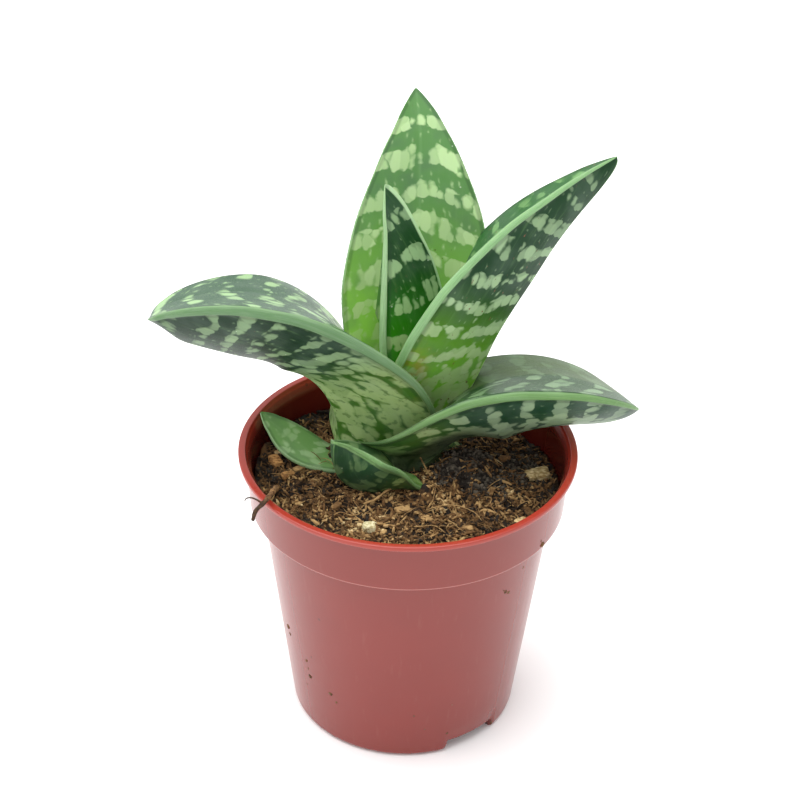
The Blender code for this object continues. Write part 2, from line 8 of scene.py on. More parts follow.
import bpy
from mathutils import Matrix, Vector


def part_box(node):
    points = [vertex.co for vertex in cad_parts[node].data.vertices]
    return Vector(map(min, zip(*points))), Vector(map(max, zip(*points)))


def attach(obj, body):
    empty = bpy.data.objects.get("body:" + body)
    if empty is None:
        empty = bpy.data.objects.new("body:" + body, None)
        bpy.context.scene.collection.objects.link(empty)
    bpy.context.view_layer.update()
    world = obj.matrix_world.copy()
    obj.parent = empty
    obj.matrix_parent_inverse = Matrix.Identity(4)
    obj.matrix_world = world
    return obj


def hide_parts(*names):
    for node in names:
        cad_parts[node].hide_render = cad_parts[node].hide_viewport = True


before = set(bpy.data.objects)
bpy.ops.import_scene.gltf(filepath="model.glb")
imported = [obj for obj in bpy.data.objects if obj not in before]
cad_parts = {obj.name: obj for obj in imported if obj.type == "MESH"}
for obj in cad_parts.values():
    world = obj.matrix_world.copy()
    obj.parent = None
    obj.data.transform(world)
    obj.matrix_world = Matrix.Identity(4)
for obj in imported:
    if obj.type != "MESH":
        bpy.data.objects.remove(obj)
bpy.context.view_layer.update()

import math
from collections import namedtuple
from functools import partial
from itertools import combinations

import bpy
import numpy as np
from mathutils import Euler, Vector

bl_info = {
    "name": "Potted tiger aloe",
    "version": (1, 0, 0),
    "blender": (4, 5, 0),
    "location": "3D View > Sidebar > Aloe",
    "description": "Builds the leaves, soil and pot of a potted tiger aloe",
    "category": "Object",
}

MM = 0.001

POT_LOW, POT_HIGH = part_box("pot")
AXIS = np.array([(POT_LOW[0] + POT_HIGH[0]) / 2.0, (POT_LOW[1] + POT_HIGH[1]) / 2.0, POT_LOW[2]])

# Clearance between pieces that touch
GAP = 0.3

# Pot: a lip on a near-upright band, a ledge, a tapered body and a low foot ring
POT_HEIGHT = 50.0
LIP_RADIUS = 27.5
LIP_WIDTH = 1.2
LIP_DEPTH = 0.8
LIP_UNDERSIDE = POT_HEIGHT - LIP_DEPTH
LIP_ROUND = 0.25
LIP_FILLET = 0.9
WALL = 0.85
BAND_TOP_RADIUS = 26.3
BAND_BOTTOM_RADIUS = 25.8
LEDGE_HEIGHT = 40.5
LEDGE_ROUND = 0.35
LEDGE_INSIDE = (40.2, 41.5)
BODY_TOP_RADIUS = 23.9
BODY_BOTTOM_RADIUS = 19.1
FOOT_RADIUS = 18.4
FOOT_WIDTH = 0.9
FOOT_ROUND = 1.2
FLOOR_RAISE = 2.0
FLOOR_ROUND = 1.0
CENTRE_RADIUS = 4.0
POT_SEGMENTS = 288
NOTCH_AZIMUTHS = (-52.0, 128.0)
NOTCH_SPAN = 30.0
NOTCH_SLANT = 1.3
NOTCH_BLEND = 5.0
DRAIN_HOLES = 4
DRAIN_HOLE_RADIUS = 2.2
DRAIN_HOLE_SIDES = 48
DRAIN_CIRCLE_RADIUS = 11.0

# Soil surface: a tilted plane with a mound at the plant and crumbs all over
SOIL_LEVEL = 44.2
SOIL_TILT = (-0.045, -0.06)
SOIL_MOUND = 1.2
SOIL_MOUND_RADIUS = 9.0
SOIL_RINGS = 110
SOIL_SEGMENTS = 420
SOIL_CRUMBS = 150
SOIL_CRUMB_SPREAD = 24.5
SOIL_CRUMB_RADIUS = (1.3, 2.7)
SOIL_CRUMB_RISE = (-0.55, 0.75)
SOIL_SEED = 7

# Loose splinters and fibres of peat that lie on the soil
SPLINTER_SEED = 51
SPLINTERS = 9500
SPLINTER_LENGTH = (0.5, 2.9)
SPLINTER_WIDTH = (0.20, 0.74)
SPLINTER_TILT = 28.0
FIBRE_SEED = 77
FIBRES = 260
FIBRE_LENGTH = (1.2, 4.2)
FIBRE_RADIUS = (0.03, 0.07)
FIBRE_STEPS = 9
FIBRE_SIDES = 5

# Range of the share by which each corner of a lump is moved in or out
LUMP_ROUGHNESS = (0.7, 1.2)

# A direction that no tube runs along, which its sides are set square to
TUBE_SIDEWAYS = (0.12, 0.21, 0.97)

# Heaps on the soil's surface: centre, spread, height and share of charcoal grit
HEAPS = (
    ((7.2, -1.6), (3.4, 2.4), 2.6, 1.0),
    ((10.5, 3.2), (5.0, 3.2), 2.6, 1.0),
    ((12.6, -2.4), (4.4, 3.2), 0.6, 0.85),
    ((18.5, 4.0), (5.0, 4.4), 0.2, 0.80),
    ((3.0, -6.7), (2.5, 1.8), 2.5, 0.0),
    ((-6.0, -15.0), (9.0, 3.0), 0.1, 0.0),
    ((-12.5, -8.5), (3.5, 2.5), 0.8, 0.0),
    ((12.5, -12.0), (5.0, 3.0), 0.5, 0.0),
)

# Strands that stand out on the soil: radius, tone from dark to pale, then route
STRANDS = (
    (0.22, 0.95, ((-6.9, -10.2, 45.6), (-5.1, -9.7, 46.1), (-3.6, -7.9, 46.3), (-2.2, -6.3, 46.2))),
    (0.07, 0.95, (
        (2.9, -12.2, 46.0), (5.3, -11.7, 46.6), (7.9, -11.5, 46.6),
        (10.6, -12.6, 46.2), (11.8, -14.0, 45.6))),
    (0.13, 0.75, ((-0.3, 1.2, 47.6), (1.6, 0.4, 47.9), (2.6, -1.0, 47.2), (3.4, -2.6, 46.3))),
    (0.12, 0.60, ((-16.5, -7.0, 45.5), (-13.9, -8.5, 46.3), (-11.5, -8.2, 46.0), (-9.4, -9.6, 45.6))),
    (0.07, 0.80, ((12.2, -7.6, 45.6), (13.4, -9.0, 46.4), (13.3, -10.9, 46.3), (14.6, -12.3, 45.3))),
    (0.11, 0.85, ((-12.4, -14.6, 45.6), (-10.6, -13.5, 46.2), (-8.7, -13.9, 46.0), (-7.4, -13.1, 45.7))),
    (0.10, 0.90, ((0.4, -15.9, 45.5), (2.2, -16.6, 46.1), (4.4, -16.2, 46.0), (6.1, -17.2, 45.4))),
)
STRAND_STEPS = 28
STRAND_SIDES = 8

# Flakes that stand out on the soil: place, then length, width and height, then turn and tone
FLAKES = (
    ((-21.3, 4.3), (1.6, 1.2, 0.8), 20, 1.15),
    ((-17.6, -0.3), (2.4, 1.3, 0.7), 35, 0.85),
    ((18.0, -11.7), (2.2, 1.0, 0.7), 40, 1.25),
    ((-0.3, -11.0), (3.0, 1.5, 0.8), 15, 0.88),
    ((3.1, -13.4), (2.2, 1.2, 0.8), -20, 0.80),
    ((-7.3, -16.2), (0.9, 0.8, 0.6), 10, 1.15),
    ((-3.6, -17.7), (1.2, 0.9, 0.6), 60, 1.10),
    ((-3.2, -15.8), (0.9, 0.6, 0.5), 0, 1.05),
    ((13.6, -4.6), (2.0, 1.0, 0.7), 70, 0.80),
    ((-14.6, -4.7), (2.2, 1.1, 0.7), -35, 0.75),
    ((-11.2, -11.3), (2.0, 1.1, 0.8), 55, 0.70),
    ((9.6, -15.3), (1.9, 1.1, 0.7), -10, 0.78),
    ((16.0, 4.6), (2.2, 1.2, 0.8), 25, 0.62),
    ((-17.0, 9.6), (2.3, 1.4, 0.8), -15, 0.72),
)
FLAKE_STEPS = 12

STEM_CENTRE = (0.5, 6.5)

# Leaf meshing
LEAF_STEPS = 300
SMALL_LEAF_STEPS = 150
FACE_STEPS = 25
BEAD_STEPS = 7
OUTER_BULGE = 0.07
TIP_FULLNESS = 2.5
DEPTH_GROWS_OVER = 0.35
EDGE_GROWS_OVER = 0.3
CREASE_SOFTNESS = 0.05
KEEL_SOFTNESS = 0.07
TOOTH_SPACING = 0.9
TOOTH_HEIGHT = 0.05

# Leaf base: it leans down from the foot into the soil and narrows to this share
BASE_LENGTH = 4.5
BASE_DIP = 0.8
BASE_SHARE = 0.7
BASE_STEPS = 14

# Share by which a leaf's keel is deeper round a place along it than its taper gives
BELLY = {"leaf_left": 0.115, "leaf_upper_right": 0.12}
BELLY_PLACE = 0.61
BELLY_SPREAD = 0.17

# Half width that rounds off a leaf's tip, from where it has grown in to where it closes
TIP_ROUND = {"leaf_left": 0.8}
OTHER_TIP_ROUND = 0.25
TIP_ROUND_GROWS = (0.86, 0.93)

LEAF_WAVER = 0.16
LEAF_WAVER_GRAIN = 7.0

Leaf = namedtuple("Leaf", (
    "name",         # node name
    "steps",        # sections along the leaf
    "spine",        # four Bezier points of the crease: azimuth, radius, height round the stem
    "face",         # azimuth and elevation towards which the inner face looks
    "twist",        # turn of the face from foot to tip
    "half_width",   # greatest half width
    "foot_share",   # half width at the foot as a share of the greatest
    "widest",       # where along the leaf it is widest
    "fullness",     # how full the outline stays towards the tip
    "fold",         # rise of each half of the inner face, along most of the leaf
    "foot_fold",    # the same where the foot clasps the stem
    "clasp",        # length of the clasping foot as a share of the leaf
    "depth",        # crease to keel
    "foot_depth",   # depth at the foot as a share of the greatest
    "edge",         # thickness of the horny margin
))

LEAVES = (
    Leaf("leaf_small_front", SMALL_LEAF_STEPS,
         ((-86, 9.3, 46.2), (-118, 13.8, 48.9), (-133, 15.1, 49.8), (-127, 19.8, 56.8)),
         (63, 70), -1, 5.7, 0.74, 0.44, 1.8, 24, -8, 0.15, 4.5, 0.47, 1.0),
    Leaf("leaf_small_left", SMALL_LEAF_STEPS,
         ((-178, 5.4, 44.0), (-158, 14.6, 43.8), (-179, 19.4, 45.7), (179, 24.9, 51.4)),
         (16, 76), -31, 4.8, 0.71, 0.50, 2.0, 3, 14, 0.21, 2.6, 0.50, 0.9),
    Leaf("leaf_lower_right", LEAF_STEPS,
         ((-68, 3.9, 46.2), (-1, 6.3, 64.9), (-1, 29.8, 62.4), (-2, 37.0, 54.6)),
         (52, 69), -12, 11.2, 0.95, 0.59, 2.1, 0, 18, 0.38, 10.2, 0.28, 1.7),
    Leaf("leaf_left", LEAF_STEPS,
         ((-177, 8.6, 48.1), (142, 5.8, 81.3), (-177, 39.7, 76.0), (-175, 42.1, 71.0)),
         (47, 63), -5, 13.3, 1.00, 0.37, 1.9, 2, 33, 0.19, 11.0, 0.47, 1.9),
    Leaf("leaf_upper_right", LEAF_STEPS,
         ((42, 4.1, 46.0), (54, 2.8, 65.1), (17, 13.0, 85.8), (17, 32.7, 94.7)),
         (160, 35), 17, 11.8, 0.70, 0.50, 1.15, 21, 46, 0.23, 7.4, 0.62, 1.5),
    Leaf("leaf_back", LEAF_STEPS,
         ((96, 4.6, 46.2), (89, 7.8, 62.1), (84, 16.5, 84.9), (91, 28.0, 97.5)),
         (-87, 25), 1, 12.3, 0.62, 0.41, 1.65, 9, 37, 0.24, 6.0, 0.50, 1.5),
    Leaf("leaf_centre", LEAF_STEPS,
         ((108, 3.2, 47.1), (68, 5.3, 64.4), (68, 4.0, 72.3), (139, 6.6, 91.6)),
         (-177, 0), -16, 8.4, 0.65, 0.39, 1.85, 53, 55, 0.23, 5.2, 0.50, 1.4),
)

Skin = namedtuple("Skin", (
    "inner",        # colour of the inner face
    "inner_foot",   # colour of the inner face's foot: partly its own paler green, partly a painted glow of light through the flesh
    "outer",        # colour of the outer face
    "outer_foot",   # colour of the outer face's foot: partly its own paler green, partly a painted glow of light through the flesh
    "foot_ends",    # share of the leaf where the foot's colour has faded out
    "spot",         # colour of the spots on the inner face
    "outer_spot",   # colour of the spots on the outer face
    "horn",         # colour of the horny margin
    "inner_cell",   # width and length of a spot's cell on the inner face; a band comes every two cells
    "outer_cell",   # the same on the outer face
    "arch",         # slant of the bands on the inner and the outer face
    "fill",         # how far spots fill their cells in a band, at the foot and at the tip
    "between",      # the same between two bands
    "keelward",     # extra fill at the keel of the outer face
    "horn_width",   # how much of the margin is horn: 0 for a thin line, 1 for all, 2 for 1 mm beyond
    "worn",         # strength of brown stains and scars
    "seed",         # shift of the pattern
    "dull_side",    # side of the inner face that carries a painted sheen, greyer and paler: -1, 0 for none, or 1
    "keel_horn",    # half width of the pale horn along the keel, beyond that of a thin line
    "dapples",      # strength of the dark dapples on the outer face's foot
    "soiled",       # strength of the painted shade on the outer face's foot, towards the keel
    "horn_grows",   # share of the leaf from which its horn is at full strength
), defaults=(0, 0.0, 1.0, 0.0, 0.22))

SKINS = {
    "leaf_small_front": Skin(
        "46723A", "527E36", "24462A", "36582A", 0.40, "7FA268", "5E7E50", "7A9E64",
        (1.9, 2.6), (1.5, 2.2), (0.3, 0.2), (0.46, 0.46), (0.24, 0.14), 0.15, 1.2, 0.1, 3.0,
        soiled=0.3, horn_grows=0.75),
    "leaf_small_left": Skin(
        "74A05C", "6C9C48", "35583A", "3C6430", 0.40, "A0C28C", "7C9C70", "98BA86",
        (2.0, 2.6), (1.8, 2.6), (0.3, 0.2), (0.48, 0.50), (0.24, 0.22), 0.1, 0.5, 0.1, 11.0),
    "leaf_lower_right": Skin(
        "244A20", "4E6C36", "1C3E28", "3A641F", 0.30, "7A9A70", "8AA380", "74985E",
        (2.3, 2.9), (1.9, 2.75), (0.3, 0.0), (0.56, 0.56), (0.28, 0.08), 0.42, 0.50, 0.05, 23.0,
        dull_side=-1, soiled=0.85),
    "leaf_left": Skin(
        "264E30", "4C7040", "0F2D19", "3F6A1E", 0.32, "92B67E", "7A966E", "6C8B64",
        (2.9, 2.8), (2.2, 2.6), (0.4, 0.4), (0.72, 0.45), (0.54, 0.12), 0.06, 0.80, 0.1, 37.0),
    "leaf_upper_right": Skin(
        "30602F", "62A034", "12381B", "74B42C", 0.58, "6C985C", "96B488", "92BA84",
        (2.1, 3.2), (1.5, 2.5), (0.3, 0.2), (0.94, 0.42), (0.74, 0.04), 0.16, 0.7, 1.0, 47.0,
        dapples=0.2),
    "leaf_back": Skin(
        "548246", "90CE4A", "33603A", "4F8A35", 0.72, "B0CE94", "86A377", "88B27A",
        (1.5, 2.8), (2.1, 2.8), (0.35, 0.2), (0.80, 0.66), (0.52, 0.18), 0.1, 0.6, 0.2, 64.0,
        dapples=0.3),
    "leaf_centre": Skin(
        "5A9048", "64A03C", "103C14", "3A9C0A", 0.80, "92B87A", "9CC08A", "AED09E",
        (1.8, 3.4), (1.15, 3.2), (0.3, 0.2), (0.98, 0.52), (0.16, -0.05), 0.0, 0.5, 0.1, 80.0,
        keel_horn=0.5, dapples=0.2),
}

# Chips on the soil: node, slot, finish, place, then length, width and height, then turn
CHIPS = (
    ("bark_chip_right", "bark", "dry_broken_bark", (21.4, 1.7), (4.0, 2.6, 1.7), 25),
    ("bark_chip_left_1", "bark", "damp_broken_bark", (-21.6, 1.6), (3.0, 1.8, 1.1), -60),
    ("bark_chip_left_2", "bark", "damp_broken_bark", (-19.3, -2.6), (2.4, 1.5, 1.0), 35),
    ("perlite_crumb", "perlite", "expanded_perlite", (-5.8, -16.8), (2.2, 1.8, 1.4), 0),
)
CHIP_STANDS = 0.2
CHIP_SQUARENESS = 0.5
CHIP_STEPS = 56

# Dry plant matter and perlite: dark colour, light colour, length of the grain as a multiple of its width
DRY_FINISHES = {
    "dry_broken_bark": ("8F7748", "D2BE90", 2.0),
    "damp_broken_bark": ("6E4A24", "B98850", 2.0),
    "expanded_perlite": ("B0A274", "E2DAB4", 1.0),
    "dead_twig": ("5A3C22", "A67C4C", 1.0),
    "corky_stem": ("6B6238", "A9A86A", 1.0),
}

# The twig over the lip and its thin side shoot: radius at both ends, tone at both ends from tan
# to dark, then the route as points from the pot's axis
TWIG_PARTS = (
    ((0.52, 0.27), (-0.1, 1.2), (
        (-20.9, -7.6, 46.4), (-20.8, -10.9, 48.6), (-21.0, -14.8, 50.7), (-21.9, -18.0, 51.2),
        (-23.2, -19.2, 50.3), (-23.7, -19.3, 48.6))),
    ((0.17, 0.08), (0.6, 1.0), (
        (-22.2, -18.4, 51.2), (-23.0, -18.3, 51.7), (-23.9, -18.0, 51.9), (-24.7, -17.9, 51.7),
        (-25.0, -18.2, 51.3))),
)
TWIG_STEPS = 90
TWIG_SIDES = 14

# Specks of dried soil on the pot's wall: azimuth, height, size across
DIRT_SPECKS = (
    (-155.2, 19.3, 1.1), (-154.0, 17.9, 0.7), (-140.4, 15.6, 0.7), (-139.2, 12.3, 1.0), (-139.9, 13.9, 0.5),
    (-126.1, 11.2, 0.9), (-123.0, 9.8, 0.5), (-45.9, 33.6, 0.9), (-43.9, 33.0, 0.7), (-47.2, 34.1, 0.4),
    (-36.5, 36.5, 0.5), (-84.5, 10.0, 0.4), (-66.4, 11.3, 0.3), (-67.3, 4.5, 0.5), (-79.0, 6.5, 0.3),
    (-33.4, 41.3, 1.2), (-34.6, 42.4, 0.5), (-37.4, 1.3, 0.6), (-143.0, 9.5, 0.4), (-136.0, 17.5, 0.3),
)
DIRT_SHAPE = np.array((0.25, 1.0, 1.0))
DIRT_SEED = 19

# Real sizes of the patterns in the leaf's skin, before some are drawn out along the leaf
SKIN_CLOUD = 4.545
SKIN_STREAK = 0.625
SKIN_PORE = 0.25
SKIN_DAPPLE = 1.0
SKIN_BLOTCH = 2.222
SKIN_SCAR = 0.6667
SKIN_FLECK = 1.3333

# Noise that shakes the spots: its size, then how far it shifts them across and along the leaf
SPOT_SHAKES = ((8.333, (1.6, 5.0, 0.0)), (0.909, (0.5, 0.8, 0.0)))
SPOT_LACK = 3.333
SPOT_SOFTNESS = (0.21, 0.16)

# Shift of the noise from the inner to the outer face, so that the two differ
SPOT_FACE_SHIFT = 57.0
SKIN_FACE_SHIFT = 31.0

# Heights between which the pot's colour eases into a brighter red on its lip: a painted glow of the thin,
# lit lip
LIP_PAINTED_GLOW = (LIP_UNDERSIDE - 0.1, LIP_UNDERSIDE + 0.15)

# Real sizes of the patterns in plastic, soil and dry plant matter
PLASTIC_CLOUD = 11.11
PLASTIC_RUB = 1.111
PLASTIC_DUST = 3.846
SOIL_GRAIN = 1.111
SOIL_LUMP = 3.846
DRY_FIBRE = 0.3846
DRY_STAIN = 1.4286

# The camera as it stood to the pot, from the pot's axis on the ground
CAMERA_PLACE = (0.0, -263.056, 227.925)
CAMERA_TURN = (57.3295, -0.8485, 0.9473)
CAMERA_LENS = 88.71
CAMERA_SENSOR = 36.0
CAMERA_NEAREST = 10.0

# Disk lights: name, place in the frame, width, power as a share of the key light's
LIGHTS = (
    ("key", (-200.0, 50.0, 950.0), 1400.0, 1.0),
    ("fill", (-600.0, -500.0, 450.0), 600.0, 0.05),
)
LIGHTS_AIM = (0.0, 0.0, 50.0)
FLOOR_HALF = 3000.0


def linear(code):
    """An sRGB hex colour as linear red, green, blue and a full alpha."""
    shares = [int(code[place:place + 2], 16) / 255.0 for place in (0, 2, 4)]
    return tuple(s / 12.92 if s <= 0.04045 else ((s + 0.055) / 1.055) ** 2.4 for s in shares) + (1.0,)


def smoothstep(values):
    """Ease from 0 to 1."""
    values = np.clip(values, 0.0, 1.0)
    return values * values * (3.0 - 2.0 * values)


def unit(vectors):
    """Vectors scaled to length 1."""
    return vectors / np.linalg.norm(vectors, axis=-1, keepdims=True)


def rounded(share, softness):
    """The size of a share from -1 to 1, with its corner at 0 rounded off."""
    low = math.sqrt(1.0 + softness ** 2) - softness
    return (np.sqrt(share ** 2 + softness ** 2) - softness) / low


def lattice_noise(points, grain, seed):
    """Smooth noise from -1 to 1 at points: random values on a grid of the grain's size, eased between."""
    table = np.random.default_rng(seed).uniform(-1.0, 1.0, 8192)
    scaled = np.asarray(points, dtype=float) / grain
    cell = np.floor(scaled).astype(np.int64)
    share = smoothstep(scaled - cell)
    total = np.zeros(scaled.shape[:-1])
    for corner in np.ndindex(2, 2, 2):
        at = cell + np.array(corner)
        index = (at[..., 0] * 73856093) ^ (at[..., 1] * 19349663) ^ (at[..., 2] * 83492791)
        weight = np.prod(np.where(np.array(corner) == 1, share, 1.0 - share), axis=-1)
        total += weight * table[index & 8191]
    return total


def rough_noise(points, grain, seed, octaves=3):
    """Lattice noise with finer noise on it, each octave half as strong and half the grain."""
    layers = [lattice_noise(points, grain / 2 ** k, seed + k) / 2 ** k for k in range(octaves)]
    return sum(layers)


def ring_quads(count, around):
    """Quads between each closed ring of points and the next, for points that are listed ring by ring."""
    row, step = np.meshgrid(np.arange(count - 1), np.arange(around), indexing="ij")
    here = (row * around + step).ravel()
    along = (row * around + (step + 1) % around).ravel()
    return np.stack((here, along, along + around, here + around), axis=1)


def closed_body(rings, poles):
    """Points, quads and triangles of a body of closed rings with a fan at each end, facing outwards."""
    count, around = rings.shape[:2]
    points = np.concatenate((rings.reshape(-1, 3), np.array(poles, dtype=float)))
    quads = ring_quads(count, around)
    step = np.arange(around)
    after = (step + 1) % around
    last = (count - 1) * around
    first_fan = np.stack((after, step, np.full(around, count * around)), axis=1)
    last_fan = np.stack((last + step, last + after, np.full(around, count * around + 1)), axis=1)
    triangles = np.concatenate((first_fan, last_fan))
    halves = np.concatenate((quads[:, :3], quads[:, [0, 2, 3]], triangles))
    corners = points[halves] - points.mean(0)
    volume = np.einsum("ij,ij->", corners[:, 0], np.cross(corners[:, 1], corners[:, 2]))
    if volume < 0.0:
        quads, triangles = quads[:, ::-1], triangles[:, ::-1]
    return points, [quads, triangles]


def add_object(name, points, face_groups):
    """An object with points in millimetres from the pot's axis, and the groups of faces between them."""
    mesh = bpy.data.meshes.new(name)
    faces = [face for group in face_groups for face in group.tolist()]
    mesh.from_pydata((np.asarray(points) * MM + AXIS).tolist(), [], faces)
    made = bpy.data.objects.new(name, mesh)
    bpy.context.scene.collection.objects.link(made)
    return made


def add_piece(name, body, material, nodes=()):
    """A smooth piece that rides on the part and may stand for some of its nodes.

    A body is its points, its groups of faces and its attributes: a number or a vector for each point.
    """
    points, face_groups, attributes = body
    piece = add_object(name, points, face_groups)
    for key, values in attributes.items():
        kind, field = ("FLOAT_VECTOR", "vector") if np.ndim(values) == 2 else ("FLOAT", "value")
        layer = piece.data.attributes.new(key, kind, "POINT")
        layer.data.foreach_set(field, np.asarray(values, dtype=np.float32).ravel())
    piece.data.shade_smooth()
    piece.data.materials.append(material)
    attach(piece, "root")
    if nodes:
        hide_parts(*nodes)
    return piece


# Materials

# Plain names for two kinds of node with the settings that they have in every material
SHORTHAND = {
    "Ease": ("MapRange", {"interpolation_type": "SMOOTHSTEP"}),
    "Blend": ("Mix", {"data_type": "RGBA"}),
}


def add_node(tree, kind, *values, **named):
    """Add one shader node with its settings and links, and return it.

    A kind in capitals is an operation of the Math node. Values fill the inputs in order, a name with
    a capital is an input too, and any other name is a setting. A hex colour becomes linear, and a
    socket, or the first output of a node, is linked.
    """
    kind, settings = ("Math", {"operation": kind}) if kind.isupper() else SHORTHAND.get(kind, (kind, {}))
    node = tree.nodes.new("ShaderNode" + kind)
    for name, value in {**settings, **named}.items():
        if name.islower():
            setattr(node, name, value)
    sockets = [socket for socket in node.inputs if socket.enabled]
    by_name = {socket.name.replace(" ", "_"): socket for socket in sockets}
    inputs = [(by_name[name], value) for name, value in named.items() if not name.islower()]
    for socket, value in (*zip(sockets, values), *inputs):
        if isinstance(value, str):
            value = linear(value)
        if isinstance(value, bpy.types.Node):
            value = next(output for output in value.outputs if output.enabled)
        if isinstance(value, bpy.types.NodeSocket):
            tree.links.new(value, socket)
        else:
            socket.default_value = value
    return node


def new_material(name):
    """A material with an empty node tree, and the function that adds a node to it."""
    material = bpy.data.materials.new(name)
    material.use_nodes = True
    material.node_tree.nodes.clear()
    return material, partial(add_node, material.node_tree)


def scattered_specks(add, place, spacing, largest, soft_edge):
    """Share of speck at a point, and its cell's chance for a tint.

    Space is split into cells of the given spacing, and the luckiest 18% of them hold a round speck
    whose radius, in cells, grows with their luck.
    """
    cells = add("TexVoronoi", place, 1.0 / spacing, Randomness=1.0)
    luck, tint, _ = add("SeparateXYZ", cells.outputs["Color"]).outputs
    radius = add("Ease", luck, 0.82, 1.0, 0.0, largest)
    within = add("SUBTRACT", radius, cells.outputs["Distance"])
    return add("Ease", within, 0.0, soft_edge, 0.0, 0.6), tint


def leaf_spots(add, skin, across, along, face, reach, rim):
    """Share of spot at a point, from 0 to 1.

    A place on the skin in millimetres is shaken by noise, slanted with the bands and divided by the
    width and length of a cell. A point is in a spot where its distance to its cell's centre is below
    the cell's fill. The fill is high in a band and low between two bands, a cosine wave of the row.
    It runs from a value at the foot to one further up, may grow towards the keel of the outer face,
    and differs from cell to cell by chance.
    """
    shift = add("MULTIPLY_ADD", face, SPOT_FACE_SHIFT, skin.seed)
    place = add("CombineXYZ", across, along, shift)
    lack = add("TexNoise", place, 1.0 / SPOT_LACK, 1.0)
    shaken = place
    for grain, far in SPOT_SHAKES:
        noise = add("TexNoise", place, 1.0 / grain, 1.0)
        centred = add("VectorMath", noise.outputs["Color"], (0.5, 0.5, 0.5), operation="SUBTRACT")
        shaken = add("VectorMath", centred, far, shaken, operation="MULTIPLY_ADD")
    x, y, _ = add("SeparateXYZ", shaken).outputs
    arch, width, length, soft = (
        add("Ease", face, 0.0, 1.0, *pair)
        for pair in (skin.arch, *zip(skin.inner_cell, skin.outer_cell), SPOT_SOFTNESS))
    column = add("ADD", add("DIVIDE", x, width), shift)
    row = add("DIVIDE", add("MULTIPLY_ADD", add("ABSOLUTE", across), arch, y), length)
    cells = add(
        "TexVoronoi", add("CombineXYZ", column, row), 1.0, Smoothness=0.36, Randomness=0.72,
        voronoi_dimensions="2D", feature="SMOOTH_F1")
    chance, tint, _ = add("SeparateXYZ", cells.outputs["Color"]).outputs
    wave = add("COSINE", add("MULTIPLY_ADD", row, math.pi, -0.5 * math.pi))
    in_band = add("Ease", reach, 0.10, 0.46, *skin.fill)
    between = add("Ease", reach, 0.10, 0.42, *skin.between)
    fill = add("Ease", wave, -0.45, 0.45, between, in_band)
    fill = add("ADD", fill, add("MULTIPLY", add("Ease", rim, 2.0, 8.0, 0.0, skin.keelward), face))
    for source, *limits in (
            (chance, 0.05, 0.6, 0.55, 1.1), (lack, 0.34, 0.52, 0.60, 1.12), (reach, 0.98, 0.90)):
        fill = add("MULTIPLY", fill, add("Ease", source, *limits))
    fill = add("MULTIPLY", fill, add("Ease", fill, 0.16, 0.32))
    within = add("SUBTRACT", fill, cells.outputs["Distance"])
    spot = add("Ease", within, add("MULTIPLY", soft, -1.0), soft)
    return add("MULTIPLY", spot, add("Ease", tint, 0.1, 0.9, 0.72, 1.0))


